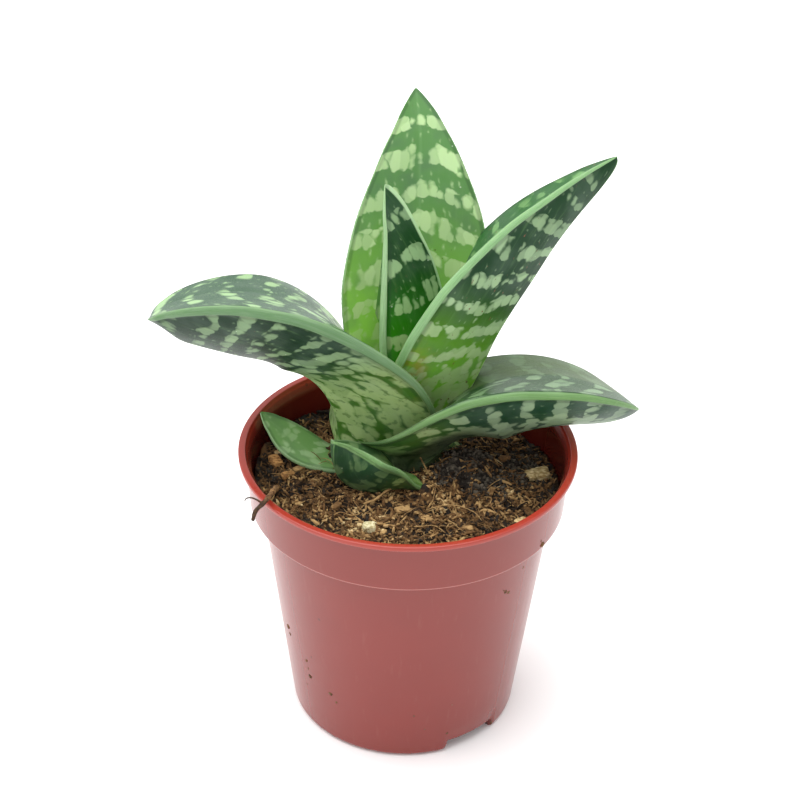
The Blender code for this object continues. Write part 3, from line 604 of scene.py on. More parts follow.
def leaf_skin(skin, name, colours):
    """Living leaf skin under a thin wax: firm, semi-gloss, faintly see-through flesh.

    The outer face is a deep green and the inner face a lighter one. Both carry bands of pale spots
    where the cells under the skin hold no green. The margin and the keel are pale horn. The colours
    lie over one another, from the green up to the bloom of wax.
    """
    material, add = new_material("waxy_leaf_skin_" + name)
    (across, along, face), (rim, reach, bead) = (
        add("SeparateXYZ", add("Attribute", attribute_name=layer).outputs["Vector"]).outputs
        for layer in ("surface", "place"))
    place = add("CombineXYZ", across, along, add("MULTIPLY_ADD", face, SKIN_FACE_SHIFT, skin.seed))
    streak_place, dapple_place, scar_place = (
        add("VectorMath", place, squeeze, operation="MULTIPLY")
        for squeeze in ((1.0, 0.12, 1.0), (0.8, 1.1, 1.0), (1.0, 0.5, 1.0)))
    clouds = add("TexNoise", place, 1.0 / SKIN_CLOUD, 2.0)
    streaks = add("TexNoise", streak_place, 1.0 / SKIN_STREAK, 3.0)
    pores = add("TexNoise", place, 1.0 / SKIN_PORE, 2.0)
    dapples = add("TexNoise", dapple_place, 1.0 / SKIN_DAPPLE, 2.0)
    blotches = add("TexNoise", place, 1.0 / SKIN_BLOTCH, 3.0)
    scars = add("TexNoise", scar_place, 1.0 / SKIN_SCAR, 2.0)

    # the brighter green at the foot is partly the leaf's own and partly a painted glow of light through the
    # flesh
    footed = add("Ease", reach, skin.foot_ends, 0.3 * skin.foot_ends)
    # painted reflection: one side of the inner face is greyed and paled as by the bright surround, and its
    # spots fade there
    side = add("Ease", add("MULTIPLY", across, skin.dull_side), 0.0, 1.2)
    painted_sheen = add("MULTIPLY", side, add("SUBTRACT", 1.0, face))
    inner = add("Blend", footed, skin.inner, skin.inner_foot)
    inner = add("Blend", add("MULTIPLY", painted_sheen, 0.5), inner, "66764E")
    outer = add("Blend", footed, skin.outer, skin.outer_foot)
    cloudy = add("Ease", clouds, 0.45, 0.75, 0.0, 0.30)
    streaky = add("Ease", streaks, 0.50, 0.80, 0.0, 0.16)

    spots = leaf_spots(add, skin, across, along, face, reach, rim)
    foot_share = add("Mix", face, add("Ease", reach, 0.05, 0.75 * skin.foot_ends, 0.40, 1.0), 1.0)
    tip_loss = add("MULTIPLY", add("Ease", reach, 0.50, 1.0, 0.0, 0.45), face)
    for share in (foot_share, add("SUBTRACT", 1.0, tip_loss), add("MULTIPLY_ADD", painted_sheen, -0.6, 1.0)):
        spots = add("MULTIPLY", spots, share)
    spot_colour = add("Blend", face, skin.spot, skin.outer_spot)
    spot_colour = add("Blend", add("Ease", streaks, 0.40, 0.75, 0.0, 0.22), spot_colour, "A9C08F")
    spot_colour = add("Blend", add("MULTIPLY", footed, 0.5), spot_colour, "B0CA78")

    dappled = add("MULTIPLY", footed, add("Ease", dapples, 0.54, 0.66, 0.0, 0.52 * skin.dapples))
    dappled = add("MULTIPLY", dappled, face)
    # painted shade on the outer face's foot, near the soil and towards the keel
    soiled = add("MULTIPLY", add("Ease", reach, 0.34, 0.12, 0.0, skin.soiled), add("Ease", rim, 3.0, 6.5))
    soiled = add("MULTIPLY", soiled, face)
    stain_ends = 0.22 + 0.18 * skin.worn
    low = add("MULTIPLY", add("Ease", reach, stain_ends, 0.5 * stain_ends), add("Ease", rim, 5.5, 1.5))
    stained = add("MULTIPLY", low, add("Ease", blotches, 0.42, 0.62, 0.0, skin.worn))
    scarred = add("Ease", scars, 0.68, 0.76, 0.0, skin.worn)

    wobble = add("MULTIPLY", add("SUBTRACT", streaks, 0.5), 0.4)
    keel = add("ADD", add("ABSOLUTE", across), wobble)
    keel = add("Ease", keel, 0.36 + skin.keel_horn, 0.10 + skin.keel_horn)
    keel = add("MULTIPLY", keel, add("Ease", face, 0.0, 1.0, 0.10, 0.45 + 0.8 * skin.keel_horn))
    # painted shadow: a dark strip on each face just beside the raised horny margin
    horn_shadow = add("Ease", rim, 0.80, 0.35, 0.0, 0.35)
    thin = add("ADD", add("Ease", reach, 0.42, 0.12, 0.0, 0.3), max(0.0, 0.6 - 0.6 * skin.horn_width))
    thin = add("MULTIPLY", add("SUBTRACT", 1.0, bead), thin)
    from_horn = add("ADD", add("ADD", rim, thin), add("MULTIPLY", wobble, 0.35))
    wide = max(0.0, skin.horn_width - 1.0)
    horn = add("Ease", from_horn, 0.22 + 1.1 * wide, 0.08 + 0.6 * wide, 0.0, 0.92)
    horn = add("MULTIPLY", horn, add("Ease", reach, 0.0, skin.horn_grows, 0.45, 1.0))
    # the margin's upper edge, by the inner face, is lighter: a painted highlight
    horn_colour = add("Blend", add("Ease", face, 0.45, 0.02, 0.0, 0.32), skin.horn, "B4CDA2")
    horn_colour = add("Blend", add("Ease", streaks, 0.35, 0.70, 0.40, 0.0), horn_colour, "3F6E38")

    fleck, tint = scattered_specks(add, place, SKIN_FLECK, 0.13, 0.05)
    fleck_colour = add("Blend", add("Ease", tint, 0.45, 0.55), "BCCDB4", "4B3A20")
    waxed = add("Ease", clouds, 0.3, 0.8, 0.0, colours.bloom * 0.3)
    colour = add("Blend", face, inner, outer)
    for share, paint in (
            (cloudy, "143A1A"), (streaky, "6F9A58"), (spots, spot_colour), (dappled, "33591F"),
            (soiled, "161C0E"), (stained, "9A7A24"), (scarred, "6A4A34"), (keel, skin.horn),
            (horn_shadow, "16301A"), (horn, horn_colour), (fleck, fleck_colour), (waxed, "A9BDB0")):
        colour = add("Blend", share, colour, paint)
    gloss = add("Ease", pores, 0.3, 0.8, 0.34, 0.50)
    height = add("MULTIPLY_ADD", streaks, 0.7, add("MULTIPLY", pores, 0.3))
    add("OutputMaterial", add(
        "BsdfPrincipled", colour, Roughness=gloss, IOR=1.42, Specular_IOR_Level=0.20,
        Subsurface_Weight=0.12, Subsurface_Radius=(0.6, 1.0, 0.3), Subsurface_Scale=1.5 * MM,
        Normal=add("Bump", Height=height, Strength=0.3, Distance=0.1 * MM)))
    return material


def moulded_polypropylene(colours):
    """Thin injection-moulded polypropylene: even colour, soft mirror at a slant, faint handling marks."""
    material, add = new_material("moulded_polypropylene")
    place = add("TexCoord").outputs["Object"]
    upright = add("VectorMath", place, (1.0, 1.0, 0.15), operation="MULTIPLY")
    clouds = add("TexNoise", place, 1.0 / (PLASTIC_CLOUD * MM), 3.0)
    rubs = add("TexNoise", upright, 1.0 / (PLASTIC_RUB * MM), 3.0)
    speck, tint = scattered_specks(add, place, PLASTIC_DUST * MM, 0.10, 0.03)
    height = add("SeparateXYZ", place).outputs["Z"]
    inside, edge = (add("Attribute", attribute_name=layer).outputs["Fac"] for layer in ("inside", "edge"))
    colour = colours.plastic[:] + (1.0,)
    for share, paint in (
            (add("Ease", clouds, 0.35, 0.7, 0.0, 0.15), "6E241C"),
            (add("Ease", rubs, 0.60, 0.8, 0.0, 0.02), "E0A79B"),
            # the lip's brighter red is a painted glow of light on and through the thin plastic
            (add("Ease", height, *(level * MM for level in LIP_PAINTED_GLOW), 0.0, 0.75), "A53425"),
            # painted shade on the pot's inner wall
            (add("MULTIPLY", inside, 0.78), "2E0806"),
            # painted highlight along the rounds of the ledge and of the lip's lower edge
            (add("MULTIPLY", edge, 0.6), "D48A80"),
            (speck, add("Blend", add("Ease", tint, 0.75, 0.8), "4A2018", "D9B6A6"))):
        colour = add("Blend", share, colour, paint)
    add("OutputMaterial", add(
        "BsdfPrincipled", colour, Roughness=add("Ease", rubs, 0.3, 0.8, 0.21, 0.25), IOR=1.49,
        Specular_IOR_Level=0.6, Normal=add("Bump", Height=clouds, Strength=0.06, Distance=0.1 * MM)))
    return material


def potting_mix(colours, name="peat_potting_mix"):
    """Damp peat with bark dust: matt, from near black in the hollows to tan on dry crumbs and fibres.

    Each piece carries an attribute, tone: below 0 for grey charcoal, 0 for dark peat and 1 for pale
    fibre. Noise moves it up and down from grain to grain. The grain noise also raises the bumps, so the
    near black of the hollows is partly the peat's own colour and partly painted shade.
    """
    material, add = new_material(name)
    place = add("TexCoord").outputs["Object"]
    tone = add("Attribute", attribute_name="tone").outputs["Fac"]
    grains = add("TexNoise", place, 1.0 / (SOIL_GRAIN * MM), 4.0, 0.65)
    lumps = add("TexNoise", place, 1.0 / (SOIL_LUMP * MM), 2.0)
    # the grain noise darkens where it also sinks the bumps: partly the peat's own tone, partly painted shade
    # in the hollows
    for noise, swing in ((grains, 1.1), (lumps, 0.5)):
        tone = add("ADD", tone, add("MULTIPLY", add("SUBTRACT", noise, 0.5), swing))
    colour = "5E564A"
    for low, high, paint in (
            (-0.45, -0.05, "231D18"), (-0.02, 0.10, "1E140B"), (0.08, 0.50, colours.soil[:] + (1.0,)),
            (0.60, 0.95, "AE8C5C"), (1.05, 1.35, "DCC594")):
        colour = add("Blend", add("Ease", tone, low, high), colour, paint)
    add("OutputMaterial", add(
        "BsdfPrincipled", colour, Roughness=0.92, IOR=1.4,
        Normal=add("Bump", Height=grains, Strength=0.8, Distance=0.4 * MM)))
    return material


def dry_plant_matter(name, dark, light, grain_length):
    """Dry bark, twig or perlite: matt, with grain along X that is light on its ridges.

    A piece that carries an attribute, tone, turns dark brown where it nears 1.
    """
    material, add = new_material(name)
    place = add("TexCoord").outputs["Object"]
    grain = add("VectorMath", place, (1.0 / grain_length, 1.0, 1.0), operation="MULTIPLY")
    fibres = add("TexNoise", grain, 1.0 / (DRY_FIBRE * MM), 4.0)
    stains = add("TexNoise", place, 1.0 / (DRY_STAIN * MM), 2.0)
    tone = add("Attribute", attribute_name="tone").outputs["Fac"]
    colour = dark
    for share, paint in (
            (add("Ease", fibres, 0.35, 0.65), light),
            (add("Ease", stains, 0.55, 0.7, 0.0, 0.5), dark),
            (add("Ease", tone, 0.35, 0.80, 0.0, 0.85), "24150D")):
        colour = add("Blend", share, colour, paint)
    add("OutputMaterial", add(
        "BsdfPrincipled", colour, Roughness=0.85, IOR=1.45,
        Normal=add("Bump", Height=fibres, Strength=0.7, Distance=0.2 * MM)))
    return material


# Leaves

def leaf_frame(leaf, t):
    """Points along the crease, with the directions across it and out of the inner face.

    The crease is a cubic Bezier curve. Out is the way that the face looks, made square to the
    curve and turned about it by the twist.
    """
    spine = []
    for azimuth, radius, height in leaf.spine:
        angle = math.radians(azimuth)
        x = STEM_CENTRE[0] + radius * math.cos(angle)
        spine.append((x, STEM_CENTRE[1] + radius * math.sin(angle), height))
    p0, p1, p2, p3 = np.array(spine)
    t = t[:, None]
    crease = (1 - t) ** 3 * p0 + 3 * (1 - t) ** 2 * t * p1 + 3 * (1 - t) * t ** 2 * p2 + t ** 3 * p3
    ahead = unit((1 - t) ** 2 * (p1 - p0) + 2 * (1 - t) * t * (p2 - p1) + t ** 2 * (p3 - p2))
    azimuth, elevation = (math.radians(angle) for angle in leaf.face)
    looks = np.array([
        math.cos(azimuth) * math.cos(elevation),
        math.sin(azimuth) * math.cos(elevation),
        math.sin(elevation),
    ])
    out = unit(looks - (ahead @ looks)[:, None] * ahead)
    across = np.cross(ahead, out)
    turn = math.radians(leaf.twist) * (t - 0.5)
    out = np.cos(turn) * out + np.sin(turn) * across
    return crease, np.cross(ahead, out), out


def leaf_outline(leaf, t):
    """Half width, fold, depth and edge thickness at each place along the leaf."""
    rise = leaf.foot_share + (1.0 - leaf.foot_share) * np.sin(math.pi / 2.0 * np.clip(t / leaf.widest, 0, 1))
    beyond = np.clip((t - leaf.widest) / (1.0 - leaf.widest), 0.0, 1.0)
    half_width = leaf.half_width * np.where(t < leaf.widest, rise, 1.0 - beyond ** leaf.fullness)
    start, full = TIP_ROUND_GROWS
    closing = np.sqrt(np.clip(1.0 - (np.clip(t - full, 0.0, None) / (1.0 - full)) ** 2, 0.0, 1.0))
    rounding = TIP_ROUND.get(leaf.name, OTHER_TIP_ROUND) * smoothstep((t - start) / (full - start))
    half_width = half_width + rounding * closing
    clasping = np.exp(-(t / leaf.clasp) ** 2)
    fold = np.radians(leaf.fold + (leaf.foot_fold - leaf.fold) * clasping)
    taper = np.sqrt(np.clip(1.0 - t ** TIP_FULLNESS, 0.0, 1.0))
    deepening = smoothstep(t / DEPTH_GROWS_OVER)
    depth = leaf.depth * (leaf.foot_depth + (1.0 - leaf.foot_depth) * deepening) * taper
    depth = depth * (1.0 + BELLY.get(leaf.name, 0.0) * np.exp(-((t - BELLY_PLACE) / BELLY_SPREAD) ** 2))
    edge = leaf.edge * (0.6 + 0.4 * smoothstep(t / EDGE_GROWS_OVER)) * taper
    return half_width, fold, depth, edge


def leaf_sections(half_width, fold, depth, edge, along):
    """Distances across and out of the inner face for every section, with the skin's coordinates.

    The inner face is a shallow V with a soft crease, the margin half an ellipse with small teeth,
    and the outer faces bulge and meet in a soft keel. The skin's coordinates are the distance across
    from the crease or keel, the distance from the margin, a value from 0 on the inner face to 1 on
    the outer, and one that is 0 on both faces and rises to 1 in the middle of the margin.
    """
    half_width, fold, depth, edge, along = (
        value[:, None] for value in (half_width, fold, depth, edge, along))
    side = half_width * np.cos(fold)
    lift = half_width * np.sin(fold)
    flat = np.linspace(-1.0, 1.0, 2 * FACE_STEPS + 1)[None, :]
    round_bead = np.linspace(90.0, -90.0, BEAD_STEPS + 2)[None, 1:-1]
    swing = np.radians(round_bead)

    inner = (side * flat, lift * rounded(flat, CREASE_SOFTNESS))
    uneven = along + 0.35 * np.sin(along * 0.83) + 0.22 * np.sin(along * 2.07 + 1.0)
    tooth = np.clip(np.sin(2.0 * math.pi * uneven / TOOTH_SPACING), 0.0, 1.0) ** 3
    tooth = tooth * TOOTH_HEIGHT * np.clip(edge, 0.0, 1.0) * np.cos(swing) ** 8
    bead_side = side + 0.25 * edge * np.cos(swing) + tooth
    bead_lift = lift - 0.5 * edge * (1.0 - np.sin(swing))
    slant = np.hypot(side, lift - edge + depth)
    share = rounded(flat, KEEL_SOFTNESS)
    bulge = OUTER_BULGE * 4.0 * share * (1.0 - share)
    outer_side = side * share + (lift - edge + depth) * bulge
    outer_lift = -depth + (lift - edge + depth) * share - side * bulge
    outer_side = outer_side * np.sign(flat)

    sides = (inner[0], bead_side, outer_side[:, ::-1], -bead_side[:, ::-1])
    lifts = (inner[1], bead_lift, outer_lift[:, ::-1], bead_lift[:, ::-1])
    none = np.zeros_like(bead_side)
    down = none + np.linspace(0.0, 1.0, BEAD_STEPS + 2)[None, 1:-1]
    margin = half_width + 1.3 * edge * down
    across = (half_width * flat, margin, (slant * flat)[:, ::-1], -margin[:, ::-1])
    rims = (half_width * (1.0 - abs(flat)), none, (slant * (1.0 - abs(flat)))[:, ::-1], none)
    faces = (np.zeros_like(inner[0]), down, np.ones_like(outer_side), down[:, ::-1])
    middle = 4.0 * down * (1.0 - down)
    beads = (np.zeros_like(inner[0]), middle, np.zeros_like(outer_side), middle)
    return [np.concatenate(parts, axis=1) for parts in (sides, lifts, across, rims, faces, beads)]


def leaf_body(leaf):
    """One leaf as a closed body, with its skin's coordinates in two attributes.

    Each section stands on the crease, spread along the directions across it and out of its face,
    and smooth noise lets the whole leaf waver a little. The foot runs on down into the soil in
    shrinking copies of the first section.

    Surface is the distance across from the crease or keel, the distance along from the foot, and 0 on
    the inner face to 1 on the outer one. Place is the distance from the margin, the share of the leaf
    that lies below, and 0 on the faces to 1 in the middle of the margin.
    """
    t = np.linspace(0.0, 1.0, leaf.steps + 1)
    t = t + 0.05 * np.sin(2.0 * math.pi * t) / math.pi
    crease, across, out = leaf_frame(leaf, t)
    along = np.concatenate(([0.0], np.cumsum(np.linalg.norm(np.diff(crease, axis=0), axis=1))))
    outline = leaf_outline(leaf, t[:-1])
    sides, lifts, *skin = leaf_sections(*outline, along[:-1])
    rings = crease[:-1, None] + sides[..., None] * across[:-1, None] + lifts[..., None] * out[:-1, None]
    seed = sum(map(ord, leaf.name))
    calm = smoothstep(np.minimum(t[:-1] / 0.15, (1.0 - t[:-1]) / 0.1))[:, None]
    waver = [lattice_noise(rings, LEAF_WAVER_GRAIN, seed + axis) for axis in range(3)]
    rings = rings + LEAF_WAVER * np.stack([calm * part for part in waver], axis=-1)

    back = unit(np.cross(across[0], out[0]) - (0.0, 0.0, BASE_DIP))
    share = np.linspace(1.0, 0.0, BASE_STEPS, endpoint=False)[:, None, None]
    shrunk = (1.0 - (1.0 - BASE_SHARE) * share) * (rings[0] - crease[0])
    base = crease[0] + BASE_LENGTH * share * back + shrunk
    rings = np.concatenate((base, rings))
    walk = np.concatenate((-BASE_LENGTH * share[:, 0, 0], along[:-1]))
    reach = np.concatenate((0.0 * share[:, 0, 0], t[:-1]))
    from_middle, rims, faces, beads = (
        np.concatenate((np.repeat(part[:1], BASE_STEPS, axis=0), part)) for part in skin)

    points, groups = closed_body(rings, (rings[0].mean(0), crease[-1]))
    reach = np.repeat(reach[:, None], rings.shape[1], axis=1)
    walk = np.repeat(walk[:, None], rings.shape[1], axis=1)
    surface = np.stack((from_middle, walk, faces), axis=-1).reshape(-1, 3)
    place = np.stack((rims, reach, beads), axis=-1).reshape(-1, 3)
    surface = np.concatenate((surface, ((0.0, 0.0, 1.0), (0.0, along[-1], 1.0))))
    place = np.concatenate((place, ((1.0, 0.0, 0.0), (0.0, 1.0, 0.0))))
    return points, groups, {"surface": surface, "place": place}


# Soil and pot

def soil_height(x, y):
    """Height of the soil's surface: a tilted plane, the mound at the plant, and crumbs.

    Each crumb is a rise or dent of (1 - (distance / radius) squared) squared.
    """
    x = np.asarray(x, dtype=float)
    y = np.asarray(y, dtype=float)
    away = ((x - STEM_CENTRE[0]) ** 2 + (y - STEM_CENTRE[1]) ** 2) / (2.0 * SOIL_MOUND_RADIUS ** 2)
    height = SOIL_LEVEL + SOIL_TILT[0] * x + SOIL_TILT[1] * y + SOIL_MOUND * np.exp(-away)
    draw = np.random.default_rng(SOIL_SEED)
    spread = SOIL_CRUMB_SPREAD * np.sqrt(draw.random(SOIL_CRUMBS))
    angle = draw.uniform(0.0, 2.0 * math.pi, SOIL_CRUMBS)
    radius = draw.uniform(*SOIL_CRUMB_RADIUS, SOIL_CRUMBS)
    rise = draw.uniform(*SOIL_CRUMB_RISE, SOIL_CRUMBS)
    from_x = x[..., None] - spread * np.cos(angle)
    from_y = y[..., None] - spread * np.sin(angle)
    near = np.clip(1.0 - (from_x ** 2 + from_y ** 2) / radius ** 2, 0.0, 1.0)
    return height + (rise * near ** 2).sum(-1)


def heaped(x, y):
    """Extra height of the heaps, each a bell over its centre, and the share of charcoal from 0 to 1."""
    rise = np.zeros(np.shape(x))
    charcoal = np.zeros(np.shape(x))
    for centre, spread, height, share in HEAPS:
        bell = np.exp(-((x - centre[0]) / spread[0]) ** 2 - ((y - centre[1]) / spread[1]) ** 2)
        rise = rise + height * bell
        charcoal = np.maximum(charcoal, share * bell)
    return rise, charcoal


def crumbly_height(x, y):
    """The soil's height with its heaps and fine crumbs: rough noise with its hollows cut deeper."""
    flat = np.stack((x, y, np.zeros_like(x)), axis=-1)
    rough = rough_noise(flat, 1.5, 401, 4)
    clods = 0.35 * lattice_noise(flat, 3.1, 431)
    rough = 0.42 * rough - 0.25 * np.clip(-rough, 0.0, None)
    return soil_height(x, y) - 0.25 + heaped(x, y)[0] + clods + rough


def body_radius(height):
    """Outer radius of the pot's tapered body."""
    share = (height - FOOT_ROUND) / (LEDGE_HEIGHT - FOOT_ROUND)
    return BODY_BOTTOM_RADIUS + (BODY_TOP_RADIUS - BODY_BOTTOM_RADIUS) * share


def band_radius(height):
    """Outer radius of the band between ledge and lip."""
    share = (height - LEDGE_HEIGHT) / (LIP_UNDERSIDE - LEDGE_HEIGHT)
    return BAND_BOTTOM_RADIUS + (BAND_TOP_RADIUS - BAND_BOTTOM_RADIUS) * share


# Radius of the soil's surface, just inside the pot's wall
SOIL_RADIUS = band_radius(SOIL_LEVEL) - WALL - GAP


def turned_rings(profile, segments):
    """Rings of points round the pot's axis, one for each radius and height of a profile."""
    profile = np.array(profile)
    angles = np.linspace(0.0, 2.0 * math.pi, segments, endpoint=False)
    radius, angle = np.meshgrid(profile[:, 0], angles, indexing="ij")
    height = np.repeat(profile[:, 1:], segments, axis=1)
    return np.stack((radius * np.cos(angle), radius * np.sin(angle), height), axis=2)


def arc(centre, radius, start, end, steps=7):
    """Profile points along an arc."""
    angles = np.radians(np.linspace(start, end, steps))
    return [(centre[0] + radius * math.cos(a), centre[1] + radius * math.sin(a)) for a in angles]


def run(start, end, steps):
    """Profile points along a straight run, without its first point."""
    shares = np.linspace(0.0, 1.0, steps + 1)[1:, None]
    return [tuple(point) for point in np.array(start) + (np.array(end) - np.array(start)) * shares]


def pot_profile():
    """The pot's outline from the floor's underside, up the outside, down the inside to its floor.

    Straight runs are joined by arcs: a rounded foot, a small round at the ledge, a hollow under
    the lip and a small round on each of the lip's edges.
    """
    foot_inner = FOOT_RADIUS - FOOT_WIDTH
    lip_inner = LIP_RADIUS - LIP_WIDTH
    floor = FLOOR_RAISE + WALL
    outline = run((CENTRE_RADIUS, FLOOR_RAISE), (foot_inner - GAP, FLOOR_RAISE), 6)
    outline += run(outline[-1], (foot_inner, 0.08), 4) + [(foot_inner + 0.08, 0.0)]
    outline += run(outline[-1], (FOOT_RADIUS - 0.1, 0.0), 3)
    foot_rise = arc((BODY_BOTTOM_RADIUS - FOOT_ROUND, FOOT_ROUND), FOOT_ROUND, -62, -4, 9)
    outline += [(radius, max(height, 0.02)) for radius, height in foot_rise]
    outline += run((BODY_BOTTOM_RADIUS, FOOT_ROUND), (body_radius(5.0), 5.0), 10)
    outline += run(outline[-1], (BODY_TOP_RADIUS - 0.02, LEDGE_HEIGHT - 0.15), 20)
    outline += [(BODY_TOP_RADIUS + 0.1, LEDGE_HEIGHT)]
    outline += run(outline[-1], (BAND_BOTTOM_RADIUS - LEDGE_ROUND, LEDGE_HEIGHT), 4)
    outline += arc((BAND_BOTTOM_RADIUS - LEDGE_ROUND, LEDGE_HEIGHT + LEDGE_ROUND), LEDGE_ROUND, -75, 0, 6)
    outline += run(outline[-1], (BAND_TOP_RADIUS, LIP_UNDERSIDE - LIP_FILLET), 8)
    fillet_reach = LIP_RADIUS - LIP_ROUND - BAND_TOP_RADIUS
    for a in np.radians(np.linspace(180.0, 90.0, 7)[1:-1]):
        radius = LIP_RADIUS - LIP_ROUND + fillet_reach * math.cos(a)
        outline.append((radius, LIP_UNDERSIDE - LIP_FILLET + LIP_FILLET * math.sin(a)))
    outline += arc((LIP_RADIUS - LIP_ROUND, LIP_UNDERSIDE + LIP_ROUND), LIP_ROUND, -80, 0, 5)
    outline += arc((LIP_RADIUS - LIP_ROUND, POT_HEIGHT - LIP_ROUND), LIP_ROUND, 0, 90, 6)
    outline += arc((lip_inner + LIP_ROUND, POT_HEIGHT - LIP_ROUND), LIP_ROUND, 90, 180, 6)
    outline += run(outline[-1], (BAND_TOP_RADIUS - WALL, LIP_UNDERSIDE - LIP_FILLET), 4)
    outline += run(outline[-1], (BAND_BOTTOM_RADIUS - WALL, LEDGE_INSIDE[1]), 8)
    outline += run(outline[-1], (BODY_TOP_RADIUS - WALL, LEDGE_INSIDE[0]), 5)
    outline += run(outline[-1], (body_radius(floor + FLOOR_ROUND) - WALL, floor + FLOOR_ROUND), 10)
    outline += run(outline[-1], (body_radius(floor) - WALL - FLOOR_ROUND, floor), 4)
    outline += run(outline[-1], (CENTRE_RADIUS, floor), 6)
    return outline


def pot_rings():
    """The turned pot with its foot ring raised at the drainage notches.

    Below NOTCH_BLEND, heights under the notch are pressed up onto its top, by a share that is 1
    inside the notch's span and falls to 0 over its slanted ends.
    """
    rings = turned_rings(pot_profile(), POT_SEGMENTS)
    azimuth = np.degrees(np.arctan2(rings[..., 1], rings[..., 0]))
    radius = np.hypot(rings[..., 0], rings[..., 1])
    height = rings[..., 2]
    for notch in NOTCH_AZIMUTHS:
        away = abs((azimuth - notch + 180.0) % 360.0 - 180.0)
        share = np.clip((NOTCH_SPAN / 2.0 + NOTCH_SLANT / 2.0 - away) / NOTCH_SLANT, 0.0, 1.0)
        ring = (radius > FOOT_RADIUS - FOOT_WIDTH - GAP - 0.01) & (height < NOTCH_BLEND)
        outside = np.arange(len(rings))[:, None] < len(rings) // 2
        raised = FLOOR_RAISE * 0.95 + height * (1.0 - FLOOR_RAISE * 0.95 / NOTCH_BLEND)
        raised = np.where(height < FLOOR_RAISE, raised, np.maximum(raised, height))
        rings[..., 2] = np.where(ring & outside, height + (raised - height) * share, height)
        height = rings[..., 2]
    return rings


def pot_body():
    """The pot, with two attributes from 0 to 1.

    Inside is painted shade, deep on the inner wall from just under the lip down; it falls off towards the
    back.
    Edge marks the rounds of the ledge and of the lip's lower edge, for a painted highlight along them.
    """
    rings = pot_rings()
    points, groups = closed_body(rings, ((0.0, 0.0, FLOOR_RAISE), (0.0, 0.0, FLOOR_RAISE + WALL)))
    past_lip = np.arange(len(points)) // POT_SEGMENTS > np.argmax(rings[:, 0, 2])
    radius, height = np.hypot(points[:, 0], points[:, 1]), points[:, 2]
    # painted shade of the inner wall, weaker towards the back
    inside = smoothstep((LIP_UNDERSIDE - height) / 1.3) * (past_lip & (height > FLOOR_RAISE))
    inside = inside * np.clip(0.9 - 0.75 * points[:, 1] / BAND_BOTTOM_RADIUS, 0.0, 1.0)
    # the ledge's round and the lip's lower edge carry a painted highlight
    ledge = (abs(height - LEDGE_HEIGHT - 0.08) < 0.24) & (radius > BAND_BOTTOM_RADIUS - LEDGE_ROUND)
    rim = (abs(height - LIP_UNDERSIDE) < 0.12) & (radius > LIP_RADIUS - LIP_ROUND)
    return points, groups, {"inside": inside, "edge": np.where(past_lip, 0.0, 0.8 * ledge + 0.7 * rim)}


def drill_drain_hole(pot, azimuth):
    """Cut a round hole through the pot's floor."""
    angle = math.radians(azimuth)
    centre = np.array((math.cos(angle), math.sin(angle), 0.0)) * DRAIN_CIRCLE_RADIUS
    ends = [(DRAIN_HOLE_RADIUS, FLOOR_RAISE - WALL), (DRAIN_HOLE_RADIUS, FLOOR_RAISE + 2.0 * WALL)]
    rings = turned_rings(ends, DRAIN_HOLE_SIDES) + centre
    cutter = add_object("drill", *closed_body(rings, rings.mean(1)))
    modifier = pot.modifiers.new("Drill", "BOOLEAN")
    modifier.operation = "DIFFERENCE"
    modifier.solver = "EXACT"
    modifier.object = cutter
    graph = bpy.context.evaluated_depsgraph_get()
    result = bpy.data.meshes.new_from_object(pot.evaluated_get(graph))
    pot.modifiers.clear()
    pot.data = result
    bpy.data.objects.remove(cutter)


def soil_body():
    """The soil: a crumbly top on rings from the middle to the wall, and sides that follow the pot."""
    floor = FLOOR_RAISE + WALL + GAP
    rings = range(1, SOIL_RINGS + 1)
    top = turned_rings([(SOIL_RADIUS * ring / SOIL_RINGS, 0.0) for ring in rings], SOIL_SEGMENTS)
    top[:, :, 2] = crumbly_height(top[:, :, 0], top[:, :, 1])
    sides = turned_rings([
        (BAND_BOTTOM_RADIUS - WALL - GAP, LEDGE_INSIDE[1] + GAP),
        (BODY_TOP_RADIUS - WALL - GAP, LEDGE_INSIDE[0] + GAP),
        (body_radius(floor + FLOOR_ROUND) - WALL - GAP, floor + FLOOR_ROUND),
        (body_radius(floor) - WALL - GAP - FLOOR_ROUND, floor),
    ], SOIL_SEGMENTS)
    poles = ((0.0, 0.0, float(soil_height(0.0, 0.0))), (0.0, 0.0, floor))
    points, groups = closed_body(np.concatenate((top, sides)), poles)
    charcoal = heaped(points[:, 0], points[:, 1])[1]
    tone = np.clip(0.20 + 0.30 * rough_noise(points, 2.2, 600, 3) - 0.5 * charcoal, -0.3, 1.0)
    return points, groups, {"tone": tone}


# Loose pieces

def icosahedron():
    """The twelve corners and twenty faces of an icosahedron of radius 1."""
    golden = (1.0 + math.sqrt(5.0)) / 2.0
    corners = []
    for a in (-1.0, 1.0):
        for b in (-golden, golden):
            corners += [(0.0, a, b), (a, b, 0.0), (b, 0.0, a)]
    corners = unit(np.array(corners))
    apart = np.linalg.norm(corners[:, None] - corners[None], axis=-1)
    near = abs(apart - apart[0, 1:].min()) < 0.01
    faces = []
    for i, j, k in combinations(range(12), 3):
        if near[i, j] and near[j, k] and near[i, k]:
            outward = np.dot(np.cross(corners[j] - corners[i], corners[k] - corners[i]), corners[i]) > 0.0
            faces.append((i, j, k) if outward else (i, k, j))
    return corners, np.array(faces)


def rough_lumps(draw, frames, sizes):
    """Corners of rough lumps: icosahedra with each corner moved in or out, then sized and turned."""
    corners = icosahedron()[0][None] * sizes[:, None] * draw.uniform(*LUMP_ROUGHNESS, (len(sizes), 12, 1))
    return np.einsum("nij,nkj->nki", frames, corners)


